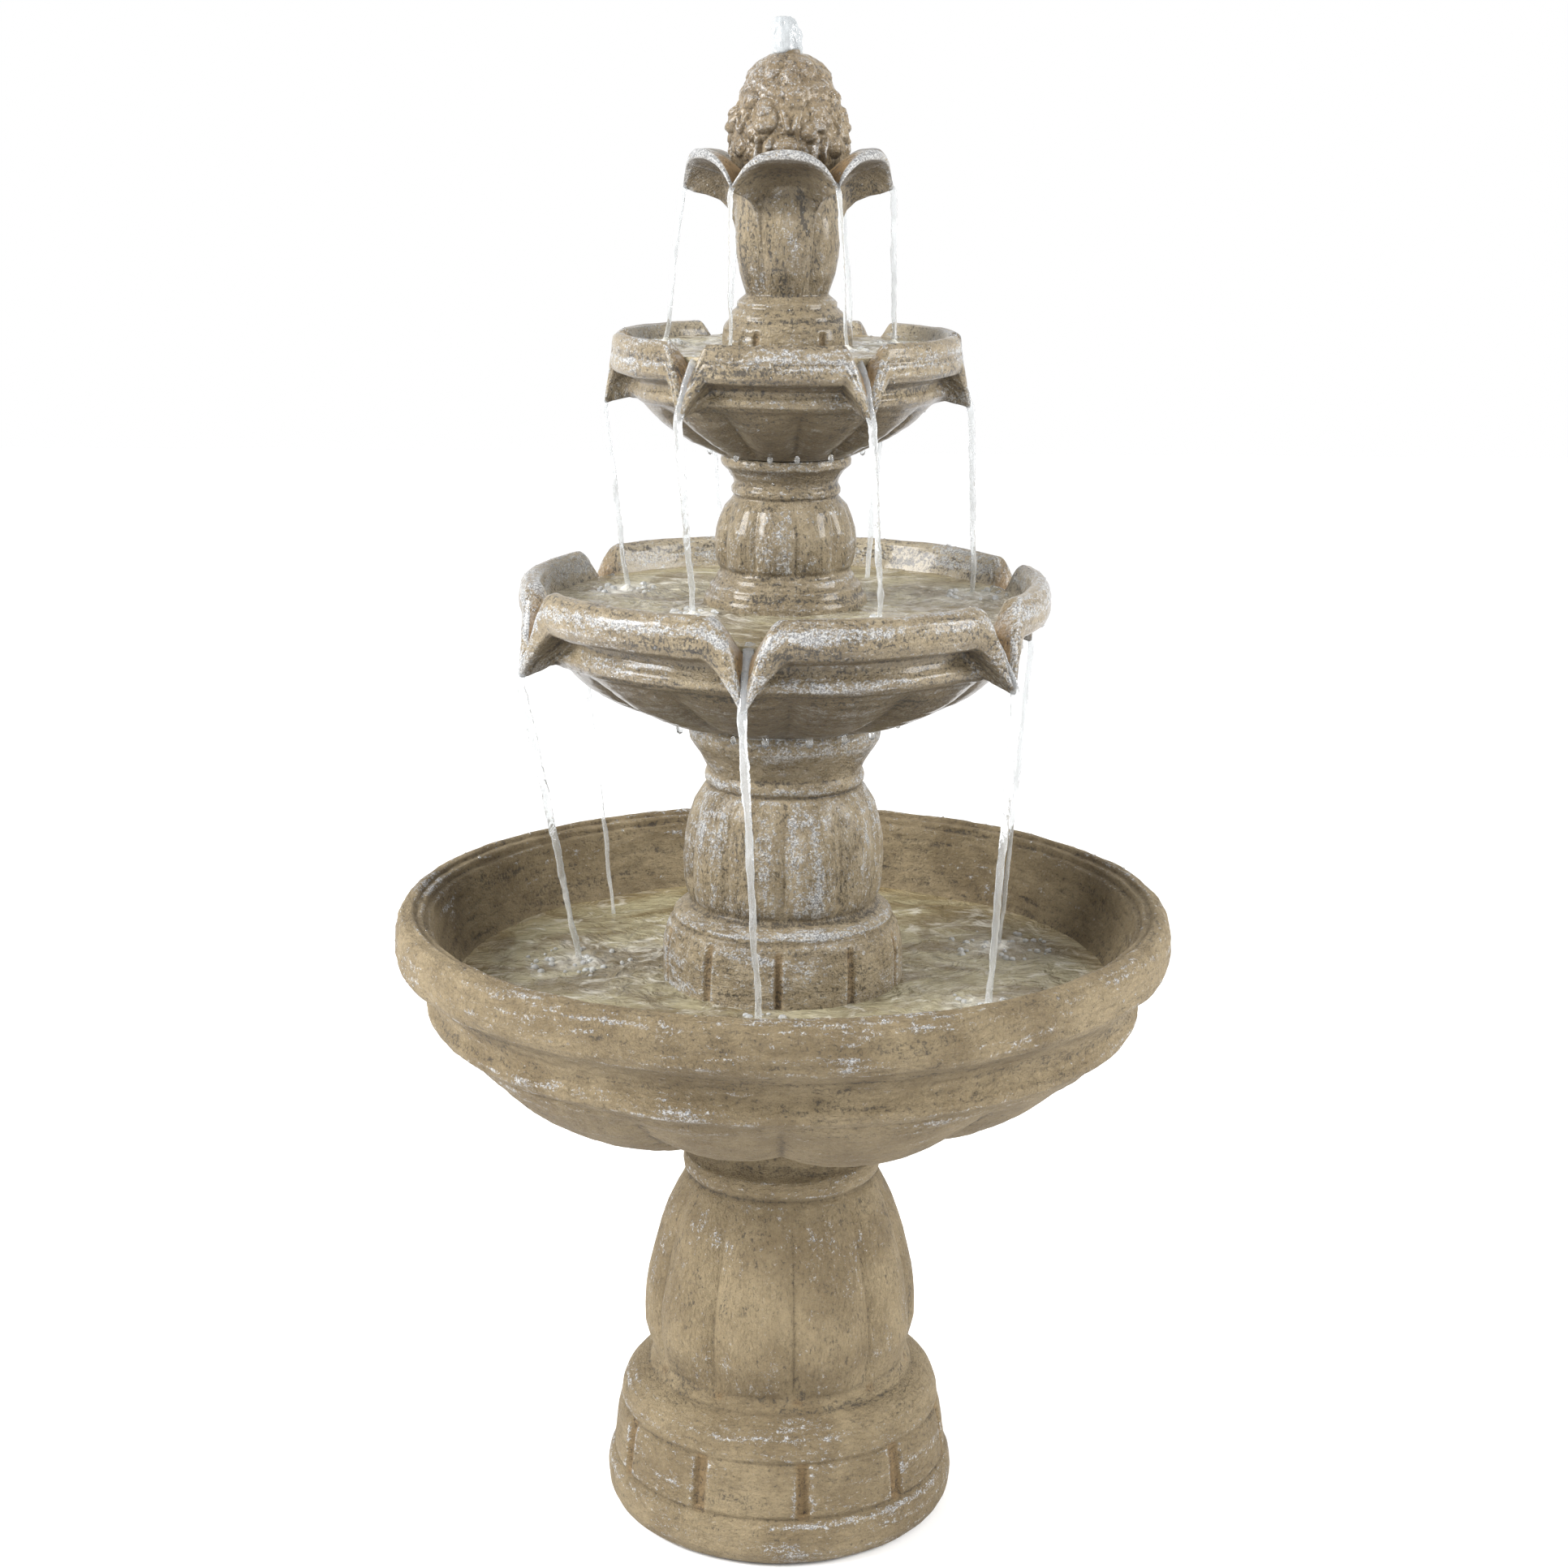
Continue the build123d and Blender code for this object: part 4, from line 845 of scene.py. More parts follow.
def spouted_bowl(name, body, corners, rows, columns, first, depth, seed):
    """A bowl whose rim drops into pouring spouts.

    Each row goes from its place on a petal to its place on a spout by a power of how near the
    column is to the spout's middle, out to the row's own half-width. Columns crowd at the spouts.
    """
    profile = round_the_corners(corners, rows, 0.9)
    radius, height, flute, spout_radius, spout_height, half, power, _ = profile.T[:, :, None]
    angle = crowded_angles(columns, 6, first, 0.55)[None, :]
    near = np.clip(1 - np.abs(off_centre(angle, 6, first)) / half, 0, 1) ** power
    out_r, out_z = outline_normals(profile[:, 0], profile[:, 1])
    sunk = flute * flutes(angle, even(12, first + 9.5))
    wide = radius + (spout_radius - radius) * near - sunk * out_r[:, None]
    tall = height + (spout_height - height) * near - sunk * out_z[:, None]
    inside = np.clip((radius - 0.8 * radius.max()) / 10, 0, 1)
    after_top = (np.arange(rows) > np.argmax(profile[:, 1]) - 4)[:, None]
    stain = np.clip(1.6 * near, 0, 1) * inside * after_top
    # The top of the rim and the spouts get more pale paint, which also stands in for a painted
    # highlight.
    rim = np.exp(-(((tall - 0.985 * tall.max(axis=0)) / 6) ** 2))
    edge = 0.8 * np.clip((rim + np.clip(1.4 * near, 0, 1)) * inside, 0, 1)
    return casting(name, body, wide, tall, angle, 0.0, stain, WET, depth, seed, edge=edge)


spouted_bowl("middle_bowl_casting", "middle_bowl", MIDDLE_BOWL, ROWS, COLUMNS, -8, 0.6, 53)
spouted_bowl("upper_bowl_casting", "upper_bowl", UPPER_BOWL, ROWS, COLUMNS, 26, 0.5, 61)

# ---------------------------------------------------------------- vase and finial
TOP_VASE = [
    # radius, height, flute depth, gap depth, tip radius, tip height, upright, weight
    (56.3, 995, 0, 0, 56.3, 995, 0, 0.4),
    (56.3, 1068, 0, 3, 56.3, 1068, 0, 1),
    (56.3, 1082, 0, 3, 56.3, 1082, 0, 1.4),
    (55.6, 1086, 0, 2, 55.6, 1086, 0, 1.4),
    (55.3, 1090, 0, 0, 55.3, 1090, 0, 1.4),
    (53.5, 1093.5, 0, 0, 53.5, 1093.5, 0, 1.4),
    (50, 1097, 0, 0, 50, 1097, 0, 1.4),
    (49.6, 1101, 0, 0, 49.6, 1101, 0, 1.4),
    (47.2, 1104, 0, 0, 47.2, 1104, 0, 1.4),
    (43.5, 1107, 0, 0, 43.5, 1107, 0, 1.4),
    (43.4, 1111.5, 0, 0, 43.4, 1111.5, 0, 1.4),
    (40, 1114.5, 0, 0, 40, 1114.5, 0, 1.4),
    (36.3, 1118, 1, 0, 36.3, 1118, 1, 1.4),
    (39, 1124, 3, 0, 39, 1124, 1, 1.2),
    (43.3, 1136, 4.6, 0, 43.3, 1136, 1, 1),
    (45.8, 1150, 5, 0, 45.8, 1150, 1, 1),
    (46.6, 1163, 5, 0, 47.5, 1163, 1, 1),
    (45.8, 1176, 4.6, 0, 49.5, 1176, 1, 1),
    (44.3, 1190, 4, 0, 54, 1188, 1, 1),
    (44, 1200, 2.5, 0, 61, 1195.5, 1, 1),
    (48, 1210, 1, 0, 72, 1199.5, 0.7, 1),
    (58, 1219, 0, 0, 82, 1201, 0.3, 1),
    (70, 1225, 0, 0, 86, 1202.5, 0, 1),
    (80, 1228.5, 0, 0, 88, 1203, 0, 1.8),
    (85.5, 1231, 0, 0, 89.5, 1204.5, 0, 2),
    (86, 1235.5, 0, 0, 88.5, 1206.5, 0, 2),
    (83, 1238.5, 0, 0, 85.5, 1208.5, 0, 2),
    (76, 1238, 0, 0, 78, 1211, 0, 1.2),
    (66, 1233, 0, 0, 70, 1213, 0, 1),
    (57, 1225, 0, 0, 60, 1214, 0, 1),
    (50, 1217, 0, 0, 50, 1213.5, 0, 0.8),
    (40, 1211, 0, 0, 40, 1211, 0, 0.5),
    (29.4, 1211, 0, 0, 29.4, 1211, 0, 0.3),
    (29.4, 1203, 0, 0, 29.4, 1203, 0, 0.3),
    (36, 1190, 0, 0, 36, 1190, 0, 0.25),
    (36, 1140, 0, 0, 36, 1140, 0, 0.25),
    (30, 1118, 0, 0, 30, 1118, 0, 0.25),
    (48, 1085, 0, 0, 48, 1085, 0, 0.25),
    (50, 995, 0, 0, 50, 995, 0, 0.3),
]


def top_vase(rows, columns):
    """The vase that ends in a six-petalled flower.

    Each petal's edge is an arch: halfway between a half ellipse and a parabola from tip to tip.
    """
    profile = round_the_corners(TOP_VASE, rows, 0.6)
    radius, height, flute, gap, tip_radius, tip_height, upright, _ = profile.T[:, :, None]
    angle = crowded_angles(columns, 6, 28, 0.45)[None, :]
    place = 1 - np.abs(off_centre(angle, 6, 28)) / 30
    near = 0.45 * (1 - np.sqrt(1 - np.clip(place, 0, 1) ** 2)) + 0.55 * place**3
    wide = radius + (tip_radius - radius) * near
    wide = wide - flute * flutes(angle, even(6, 30)) - gap * gap_pattern(angle, 6, -28, 2.6, 0.5)
    tall = height + (tip_height - height) * near
    above = np.clip((height - 1208) / 6, 0, 1)
    after_top = (np.arange(rows) > np.argmax(profile[:, 1]) - 2)[:, None]
    stain = np.clip(0.35 + 1.6 * place - 0.6, 0, 1) * above * after_top
    stain = stain + 0.5 * np.minimum(gap, 1) * gap_pattern(angle, 6, -28, 2.6, 0.5)
    # The flower's lip gets more pale paint, which also stands in for a painted highlight.
    lip = np.exp(-(((radius - 84.5) / 5) ** 2)) * np.clip((height - 1222) / 5, 0, 1)
    casting(
        "top_vase_casting", "top_vase", wide, tall, angle, upright, stain, WET, 0.4, 71,
        edge=1.4 * lip,
    )


top_vase(ROWS, COLUMNS * 3 // 4)

FINIAL = [
    # radius, height, weight
    (41, 1211, 0.5),
    (45.5, 1222, 1),
    (48, 1235, 1),
    (48.6, 1248, 1),
    (47.2, 1260, 1),
    (44.6, 1271, 1),
    (41.5, 1282, 1),
    (37, 1293, 1),
    (32, 1302, 1),
    (26, 1309, 1),
    (18, 1314.5, 1),
    (8.6, 1317, 1),
    (8.6, 1300, 0.3),
    (30, 1262, 0.3),
    (30.4, 1211, 0.3),
]


def knob(angle, height, at_angle, at_height, size, squeeze, radius):
    """A rounded knob: a soft dome over the distance from its middle, measured along the surface."""
    turn = (angle - at_angle + 180) % 360 - 180
    away = np.hypot(np.radians(turn) * radius / squeeze, height - at_height) / size
    return np.clip(1 - away**2, 0, 1) ** 0.7


def leaf(angle, height, at_angle, at_height, length, lean, radius):
    """A narrow upright ridge that leans: a bell across it that fades towards its ends."""
    along = (height - at_height) / (0.5 * length)
    turn = (angle - at_angle + 180) % 360 - 180
    across = np.radians(turn) * radius - lean * (height - at_height)
    return np.exp(-((across / 2.2) ** 2)) * np.clip(1 - along**4, 0, 1)


KNOBS = [
    # how proud, angle in its sixth, height, size, squeeze
    (3.6, -27, 1304, 9.0, 1.0),
    (3.2, 3, 1298, 8.5, 1.2),
    (5.4, -24, 1262, 11.5, 0.9),
    (5.0, 26, 1252, 9.5, 1.2),
    (4.6, -2, 1240, 9.0, 1.25),
    (3.6, 8, 1278, 8.0, 1.2),
    (3.2, 32, 1272, 7.5, 1.1),
]
UPRIGHT_LEAN = 0.08
LEAVES = [
    # how proud, angle in its sixth, half the angle between the pair, height, length, lean
    (3.2, 2, 5, 1260, 20, 0.3),
    (2.8, 32, 5, 1234, 26, -0.1),
    (2.4, -26, 6, 1238, 24, UPRIGHT_LEAN),
]


def finial(rows, columns):
    """The carved fruit: a cap of knobs on a scalloped ledge, clusters, V leaves and leaf ribs.

    All the carving is a sum of domes, bells and steps over angle and height, added to the radius.
    """
    profile = round_the_corners(FINIAL, rows, 1.0)
    radius, height, _ = profile.T[:, :, None]
    angle = (np.arange(columns) * 360 / columns)[None, :]
    outside = (np.arange(rows) <= np.argmax(profile[:, 1]) + 1)[:, None]
    round_at = np.maximum(radius, 12)
    ledge = 1284 - 3.5 * np.cos(np.radians(4 * (angle + 4)))
    ledge = ledge + 1.2 * np.sin(np.radians(7 * angle + 40))
    above = 1 / (1 + np.exp(-(height - ledge) / 0.9))
    roll = np.exp(-(((height - ledge - 2.5) / 3.2) ** 2))
    swell = 1.2 * above * np.clip((1306 - height) / 16, 0, 1)
    swell = swell + 1.5 * np.exp(-(((height - ledge - 2.5) / 3.6) ** 2))
    for i in range(6):
        turn = 60 * i
        for proud, across, up, size, squeeze in KNOBS:
            swell = swell + proud * knob(angle, height, turn + across, up, size, squeeze, round_at)
        for side in (-1, 1):
            for proud, across, apart, up, length, lean in LEAVES:
                at = turn + across + apart * side
                lean = lean if lean == UPRIGHT_LEAN else lean * side
                swell = swell + proud * leaf(angle, height, at, up, length, lean, round_at)
    bumpy = on_circle(radius, np.radians(angle), height)
    swell = swell + 2.4 * layered(bumpy / 8, 5, 3)
    wide = radius + np.where(outside, np.clip((height - 1211) / 8, 0, 1) * (swell - 1.5), 0)
    tall = np.broadcast_to(height, wide.shape)
    return casting("finial_casting", "finial", wide, tall, angle, 0.5, 0.28, WET, 0.5, 83)


finial(ROWS, COLUMNS * 3 // 4)

# ---------------------------------------------------------------- water
def pool_water():
    """Murky moving water: olive over the floor, paler at the shallow edge, white where it foams."""
    m = Nodes("pool_water")
    place = m.place()
    swirl = m.noise(m.stretched(place, (10, 13, 10)), 1.0, 4, 0.6, 1.2)
    colour = m.mix(m.step(swirl, 0.38, 0.62), linear(98, 84, 54), linear(146, 138, 108))
    streaks = m.noise(m.stretched(place, (22, 27, 22)), 1.0, 4, 0.65, 1.2)
    colour = m.mix(m.step(streaks, 0.52, 0.68, 0.0, 0.65), colour, linear(196, 192, 180))
    colour = m.mix(m.attribute("shallow"), colour, linear(168, 150, 112))
    colour = m.mix(m.attribute("foam"), colour, linear(226, 224, 216))
    ripple = m.noise(m.stretched(place, (36, 42, 36)), 1.0, 4, 0.55, 1.6)
    m.set(Base_Color=colour, Normal=m.bump(ripple, 0.7, 0.014))
    m.set(Roughness=0.06, IOR=1.33, Specular_IOR_Level=0.6)
    return m.material


def clear_water(name, milk, pale=0.96):
    """Clear water. milk (0 to 1) is how much of it is white with air, and pale how white."""
    m = Nodes(name)
    m.set(Base_Color=(pale, pale + 0.02, pale + 0.03, 1), Transmission_Weight=1 - milk)
    m.set(Roughness=0.04, IOR=1.33, Specular_IOR_Level=0.6)
    ripple = m.noise(m.stretched(m.place(), (240, 240, 60)), 1.0, 3, 0.5)
    m.set(Normal=m.bump(ripple, 0.5, 0.003))
    return m.material


POOL = pool_water()
STREAM = clear_water("stream_water", 0.25, 0.9)
DROPLET = clear_water("droplet_water", 0.12)
BUBBLE = clear_water("bubble_water", 0.3, 0.9)


def outward(points, faces):
    """The faces, turned round if they enclose a negative volume."""
    a, b, c = (points[faces[:, k]] for k in range(3))
    return faces if (a * np.cross(b, c)).sum() > 0 else faces[:, ::-1]


def water_piece(name, body, points, faces, material, **attributes):
    """A closed piece of water from triangles."""
    mesh = mesh_from(points, outward(points, faces))
    for key, values in attributes.items():
        give(mesh, key, values)
    return finish_piece(name, mesh, material, body)


def pool(name, body, level, radius, sink, landings, seed):
    """A round pool: rings from the middle to the edge, then under it to the middle again.

    Its height is the level, plus slow waves, plus rings that spread and die out from each landing.
    """
    top_rows, columns = ((130, 280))
    out = np.concatenate([np.linspace(0.01, 1, top_rows), [0.93, 0.5, 0.01]]) * radius
    turn = np.radians(np.arange(columns) * 360 / columns)
    x = out[:, None] * np.sin(turn)
    y = -out[:, None] * np.cos(turn)
    foam = np.zeros_like(x)
    flat = np.stack([x, y, np.zeros_like(x)], axis=-1)
    wave = 1.1 * layered(flat / 42, seed, 2)
    wave += 0.55 * layered(flat / np.array([20, 11, 1]), seed + 3, 2)
    for px, py in landings:
        away = np.hypot(x - px, y - py)
        wave += 2.0 * np.exp(-away / 34) * np.cos(away / 2.6) + 2.5 * np.exp(-((away / 9) ** 2))
        foam += 0.9 * np.exp(-((away / 17) ** 2)) + 0.28 * np.exp(-away / 60)
    foam = np.clip(foam * (0.65 + 0.7 * layered(flat / 9, seed + 7, 3)), 0, 0.85)
    height = level + wave
    height[top_rows:] = level - sink
    shallow = np.broadcast_to(np.clip((out[:, None] / radius - 0.88) / 0.12, 0, 1) * 0.5, x.shape)
    points, faces = capped(np.stack([x, y, height], axis=-1) * MM)
    ends = np.zeros(2)
    water_piece(
        name, body, points, faces, POOL,
        foam=np.concatenate([foam.ravel(), ends]),
        shallow=np.concatenate([shallow.ravel(), ends]),
    )


BASIN_LANDINGS = [(-188, 30), (-20, -160), (180, -98), (204, 86)]
MIDDLE_LANDINGS = [(-142, 58), (-79, -70), (80, -100), (168, 40)]
UPPER_LANDINGS = [(-105, 32), (-48, -42), (50, -46), (92, 24)]
BASIN_LEVEL, MIDDLE_LEVEL, UPPER_LEVEL = 510, 852, 1074
pool("basin_water", "basin", BASIN_LEVEL, 299, 45, BASIN_LANDINGS, 91)
pool("middle_bowl_water", "middle_bowl", MIDDLE_LEVEL, 209, 40, MIDDLE_LANDINGS, 93)
pool("upper_bowl_water", "upper_bowl", UPPER_LEVEL, 136.5, 26, UPPER_LANDINGS, 95)


def swept(centre, wide, thick, twist, columns=20):
    """A closed tube along a line of points, with an oval section that turns as it goes."""
    along = np.gradient(centre, axis=0)
    along /= np.linalg.norm(along, axis=1, keepdims=True)
    side = np.cross(along, (0.13, 0.97, 0.2))
    side /= np.linalg.norm(side, axis=1, keepdims=True)
    front = np.cross(side, along)
    turn = np.arange(columns) * 2 * np.pi / columns
    a = np.cos(turn)[None, :] * wide[:, None]
    b = np.sin(turn)[None, :] * thick[:, None]
    lean = twist[:, None]
    first = a * np.cos(lean) - b * np.sin(lean)
    second = a * np.sin(lean) + b * np.cos(lean)
    offset = first[..., None] * side[:, None, :] + second[..., None] * front[:, None, :]
    return centre[:, None, :] + offset


def stream(name, body, spout_angle, lip, landing, width, seed):
    """Water that runs down a spout's channel and falls to its landing.

    lip lists (radius, height) from the pool to the spout's tip. The fall is a straight line whose
    sideways place wanders a little with noise, and it goes on under the water that it falls into.
    """
    rows = 130
    turn = math.radians(spout_angle)
    lead = np.array([(r * math.sin(turn), -r * math.cos(turn), z) for r, z in lip])
    tip = lead[-1]
    end = np.array(landing, dtype=float)
    below = tip + (end - tip) * (1 + 60 / (tip[2] - end[2]))
    share = np.linspace(0, 1, rows)
    fall = tip + (below - tip) * np.stack([share**0.92, share**0.92, share], axis=-1)
    early = np.linspace(0, 1, 24)
    knots = np.linspace(0, 1, len(lead))
    channel = np.stack([np.interp(early, knots, lead[:, k]) for k in range(3)], axis=-1)
    centre = np.concatenate([channel[:-1], fall])
    for _ in range(3):
        centre[1:-1] = (centre[:-2] + 2 * centre[1:-1] + centre[2:]) / 4
    at = np.arange(len(centre)) / rows
    wander = np.stack([at * 9, at * 0 + seed, at * 0], axis=-1)
    dropped = np.clip((np.arange(len(centre)) - 24) / rows, 0, 1)
    centre[:, 0] += 2.2 * dropped * layered(wander, seed, 2)
    pulse = layered(wander * np.array([3.2, 1, 1]), seed + 4, 2)
    half = width * (1 - 0.42 * dropped**0.7) * (1 + 0.14 * pulse)
    thick = half * (0.42 + 0.12 * layered(wander * np.array([2.1, 1, 1]), seed + 6, 2))
    twist = 1.1 * layered(wander * np.array([1.3, 1, 1]), seed + 8, 2) * dropped**0.5
    rings = swept(centre, half, thick, twist)
    ragged = layered(rings / np.array([2.2, 2.2, 38]), seed + 9, 2)
    rings = rings + (rings - centre[:, None, :]) * (0.26 * ragged)[..., None]
    points, faces = capped(rings * MM)
    water_piece(name, body, points, faces, STREAM)


MIDDLE_LIP = [(200, 852), (211, 849), (223, 838), (233, 823), (240, 809), (244, 799)]
UPPER_LIP = [(131, 1073), (139, 1067), (147, 1052), (153, 1038), (157, 1027), (159, 1021)]
FLOWER_LIP = [(52, 1217), (66, 1216), (78, 1213), (86, 1209), (89.5, 1203)]
STREAMS = [
    ("middle_bowl", "left", -68, MIDDLE_LIP, (*BASIN_LANDINGS[0], BASIN_LEVEL), 4.5),
    ("middle_bowl", "front", -8, MIDDLE_LIP, (*BASIN_LANDINGS[1], BASIN_LEVEL), 4.1),
    ("middle_bowl", "right", 52, MIDDLE_LIP, (*BASIN_LANDINGS[2], BASIN_LEVEL), 4.5),
    ("middle_bowl", "back", 172, MIDDLE_LIP, (20, 180, BASIN_LEVEL), 3.7),
    ("middle_bowl", "back_left", -128, MIDDLE_LIP, (-165, 185, BASIN_LEVEL), 2.9),
    ("middle_bowl", "back_right", 112, MIDDLE_LIP, (*BASIN_LANDINGS[3], BASIN_LEVEL), 2.9),
    ("upper_bowl", "left", -94, UPPER_LIP, (*MIDDLE_LANDINGS[0], MIDDLE_LEVEL), 3.1),
    ("upper_bowl", "front_left", -34, UPPER_LIP, (*MIDDLE_LANDINGS[1], MIDDLE_LEVEL), 3.8),
    ("upper_bowl", "front_right", 26, UPPER_LIP, (*MIDDLE_LANDINGS[2], MIDDLE_LEVEL), 3.8),
    ("upper_bowl", "right", 86, UPPER_LIP, (*MIDDLE_LANDINGS[3], MIDDLE_LEVEL), 3.1),
    ("upper_bowl", "back_right", 146, UPPER_LIP, (75, 128, MIDDLE_LEVEL), 3.3),
    ("upper_bowl", "back_left", -154, UPPER_LIP, (-58, 130, MIDDLE_LEVEL), 3.3),
    ("top_vase", "left", -92, FLOWER_LIP, (*UPPER_LANDINGS[0], UPPER_LEVEL), 2.9),
    ("top_vase", "front_left", -32, FLOWER_LIP, (*UPPER_LANDINGS[1], UPPER_LEVEL), 2.2),
    ("top_vase", "front_right", 28, FLOWER_LIP, (*UPPER_LANDINGS[2], UPPER_LEVEL), 2.2),
    ("top_vase", "right", 88, FLOWER_LIP, (*UPPER_LANDINGS[3], UPPER_LEVEL), 2.9),
    ("top_vase", "back_right", 148, FLOWER_LIP, (58, 94, UPPER_LEVEL), 2.2),
    ("top_vase", "back_left", -152, FLOWER_LIP, (-52, 94, UPPER_LEVEL), 2.2),
]
for number, (body, side, spout_angle, lip, landing, width) in enumerate(STREAMS):
    stream(f"{body}_stream_{side}", body, spout_angle, lip, landing, width, 200 + 11 * number)

def moulded(name, pale, deep, rough, grain=900.0, depth=0.0002, **shader):
    """A moulded or metal surface: two close colours in soft patches, fine grain, faint scuffs."""
    m = Nodes(name)
    place = m.place()
    patches = m.noise(place, 55.0, 4, 0.6, 0.6)
    fine = m.noise(place, grain, 3, 0.6)
    scuffs = m.noise(m.stretched(place, (90, 90, 700)), 1.0, 3, 0.7, 0.4)
    colour = m.mix(m.step(patches, 0.3, 0.7), deep, pale)
    colour = m.mix(m.step(scuffs, 0.62, 0.78, 0.0, 0.35), colour, linear(150, 148, 140))
    m.set(Base_Color=colour, Normal=m.bump(fine, 0.5, depth))
    m.set(Roughness=m.step(scuffs, 0.4, 0.7, rough, min(rough + 0.2, 1.0)), **shader)
    return m.material


def brushed_steel():
    """Stainless band: streaks along its turn, in colour, roughness and bump."""
    m = Nodes("brushed_steel")
    streaks = m.noise(m.stretched(m.place(), (60, 60, 2400)), 1.0, 3, 0.7)
    m.set(Base_Color=m.mix(streaks, linear(150, 152, 154), linear(205, 206, 206)), Metallic=1.0)
    m.set(Roughness=m.step(streaks, 0.3, 0.7, 0.22, 0.42), Normal=m.bump(streaks, 0.3, 0.0001))
    return m.material


def open_foam():
    """Filter foam: pores as small cells, darker inside with painted shade."""
    m = Nodes("open_foam")
    pores = m.node("TexVoronoi")
    m.join(m.place(), pores.inputs["Vector"])
    pores.inputs["Scale"].default_value = 700.0
    depth = pores.outputs["Distance"]
    # The pores' dark middles are painted shade.
    m.set(Base_Color=m.mix(depth, linear(34, 38, 42), linear(78, 84, 92)), Roughness=0.95)
    m.set(Normal=m.bump(depth, 0.8, 0.001))
    return m.material


HARDWARE = {
    moulded("black_plastic", linear(44, 44, 46), linear(30, 30, 32), 0.42): (
        "outlet_adapter", "pump_body", "pump_volute", "pump_intake_cover",
    ),
    moulded("dial_plastic", linear(112, 114, 118), linear(92, 94, 98), 0.4): ("pump_flow_dial",),
    moulded("sealing_rubber", linear(46, 45, 44), linear(30, 30, 30), 0.75): (
        "middle_hose_grommet", "upper_hose_grommet", "cord_stopper", "shaft_bushes",
        "pump_cord_gland",
    ),
    moulded("sucker_rubber", linear(78, 78, 82), linear(60, 60, 64), 0.6): ("pump_suction_cups",),
    moulded("coated_magnet", linear(66, 66, 70), linear(48, 48, 52), 0.3): ("pump_impeller",),
    moulded("ground_ceramic", linear(236, 234, 226), linear(222, 219, 210), 0.25): ("impeller_shaft",),
    moulded(
        "clear_vinyl", linear(214, 220, 216), linear(196, 204, 198), 0.14, 240.0,
        Transmission_Weight=0.75, IOR=1.5,
    ): ("delivery_hose",),
    moulded("stone_painted_nozzle", TAN_DEEP, BROWN_WASH_AND_SHADE, 0.4, 300.0, 0.0004): ("jet_nozzle",),
    brushed_steel(): ("hose_clamp", "clamp_screw"),
    open_foam(): ("pump_filter_sponge",),
}
for finish, fittings in HARDWARE.items():
    for fitting in fittings:
        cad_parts[fitting].data.materials.clear()
        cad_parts[fitting].data.materials.append(finish)

JET = [
    # height, half-width, sideways lean
    (1308, 6, 0),
    (1314, 11, 0),
    (1319, 13.5, -1),
    (1325, 12.8, -2),
    (1332, 12, -3),
    (1338, 11, -4.5),
    (1342, 9.8, -5),
    (1345, 7, -5.5),
    (1346, 3, -5.5),
]


def jet():
    """The stub of water that wells up from the nozzle, lumpy with air, grey with painted shade."""
    at = np.linspace(0, len(JET) - 1, 60)
    height, half, lean = (np.interp(at, np.arange(len(JET)), np.array(JET)[:, k]) for k in range(3))
    centre = np.stack([lean, np.zeros_like(lean), height], axis=-1)
    rings = swept(centre, half, half * 0.85, np.zeros_like(half), 48)
    lumps = layered(rings / np.array([5, 5, 9]), 301, 3)
    rings = rings + (rings - centre[:, None, :]) * (0.30 * lumps)[..., None]
    points, faces = capped(rings * MM)
    # The jet's grey colour (pale 0.42) is painted shade.
    water_piece("nozzle_jet", "finial", points, faces, clear_water("jet_water", 0.8, 0.42))


jet()


# ---------------------------------------------------------------- drops and bubbles
def dotted(name, body, centres, normals, sizes, material, flat, sag=0.0):
    """Many small rounded drops as one mesh: each a low grid of rings squashed along its normal.

    sizes are radii in metres, flat is the height as a share of the radius, and sag stretches each
    drop downwards by that share.
    """
    rings, columns = 5, 8
    polar = np.linspace(0.02, np.pi - 0.02, rings)
    turn = np.arange(columns) * 2 * np.pi / columns
    ball = np.stack(
        [
            np.sin(polar)[:, None] * np.cos(turn),
            np.sin(polar)[:, None] * np.sin(turn),
            np.broadcast_to(np.cos(polar)[:, None] * flat, (rings, columns)),
        ],
        axis=-1,
    )
    shape, faces = capped(ball)
    faces = outward(shape, faces)
    side = np.cross(normals, (0.31, 0.11, 0.94))
    side /= np.linalg.norm(side, axis=1, keepdims=True)
    front = np.cross(normals, side)
    turned = (
        shape[None, :, 0, None] * side[:, None]
        + shape[None, :, 1, None] * front[:, None]
        + shape[None, :, 2, None] * normals[:, None]
    )
    turned[..., 2] *= 1 + sag
    if np.linalg.det(np.stack([side[0], front[0], normals[0]])) < 0:
        faces = faces[:, ::-1]
    points = centres[:, None] + turned * sizes[:, None, None]
    offset = (np.arange(len(centres)) * len(shape))[:, None, None]
    everything = (faces[None] + offset).reshape(-1, 3)
    return finish_piece(name, mesh_from(points.reshape(-1, 3), everything), material, body)


def splashed(body, count, low, high, smallest, largest, seed, above=-0.75):
    """Clinging drops at seeded places on a casting's outward faces, between two heights."""
    draw = np.random.default_rng(seed)
    points, normals = (grid.reshape(-1, 3) for grid in surfaces[body])
    outwards = (points[:, :2] * normals[:, :2]).sum(axis=1) > 0
    fit = outwards | (normals[:, 2] > 0.6)
    fit &= (points[:, 2] > low * MM) & (points[:, 2] < high * MM) & (normals[:, 2] > above)
    chosen = draw.choice(np.flatnonzero(fit), count, replace=False)
    sizes = draw.uniform(smallest, largest, count) * draw.uniform(0.5, 1, count) * MM
    dotted(f"{body}_drops", body, points[chosen], normals[chosen], sizes, DROPLET, 0.6, 0.15)


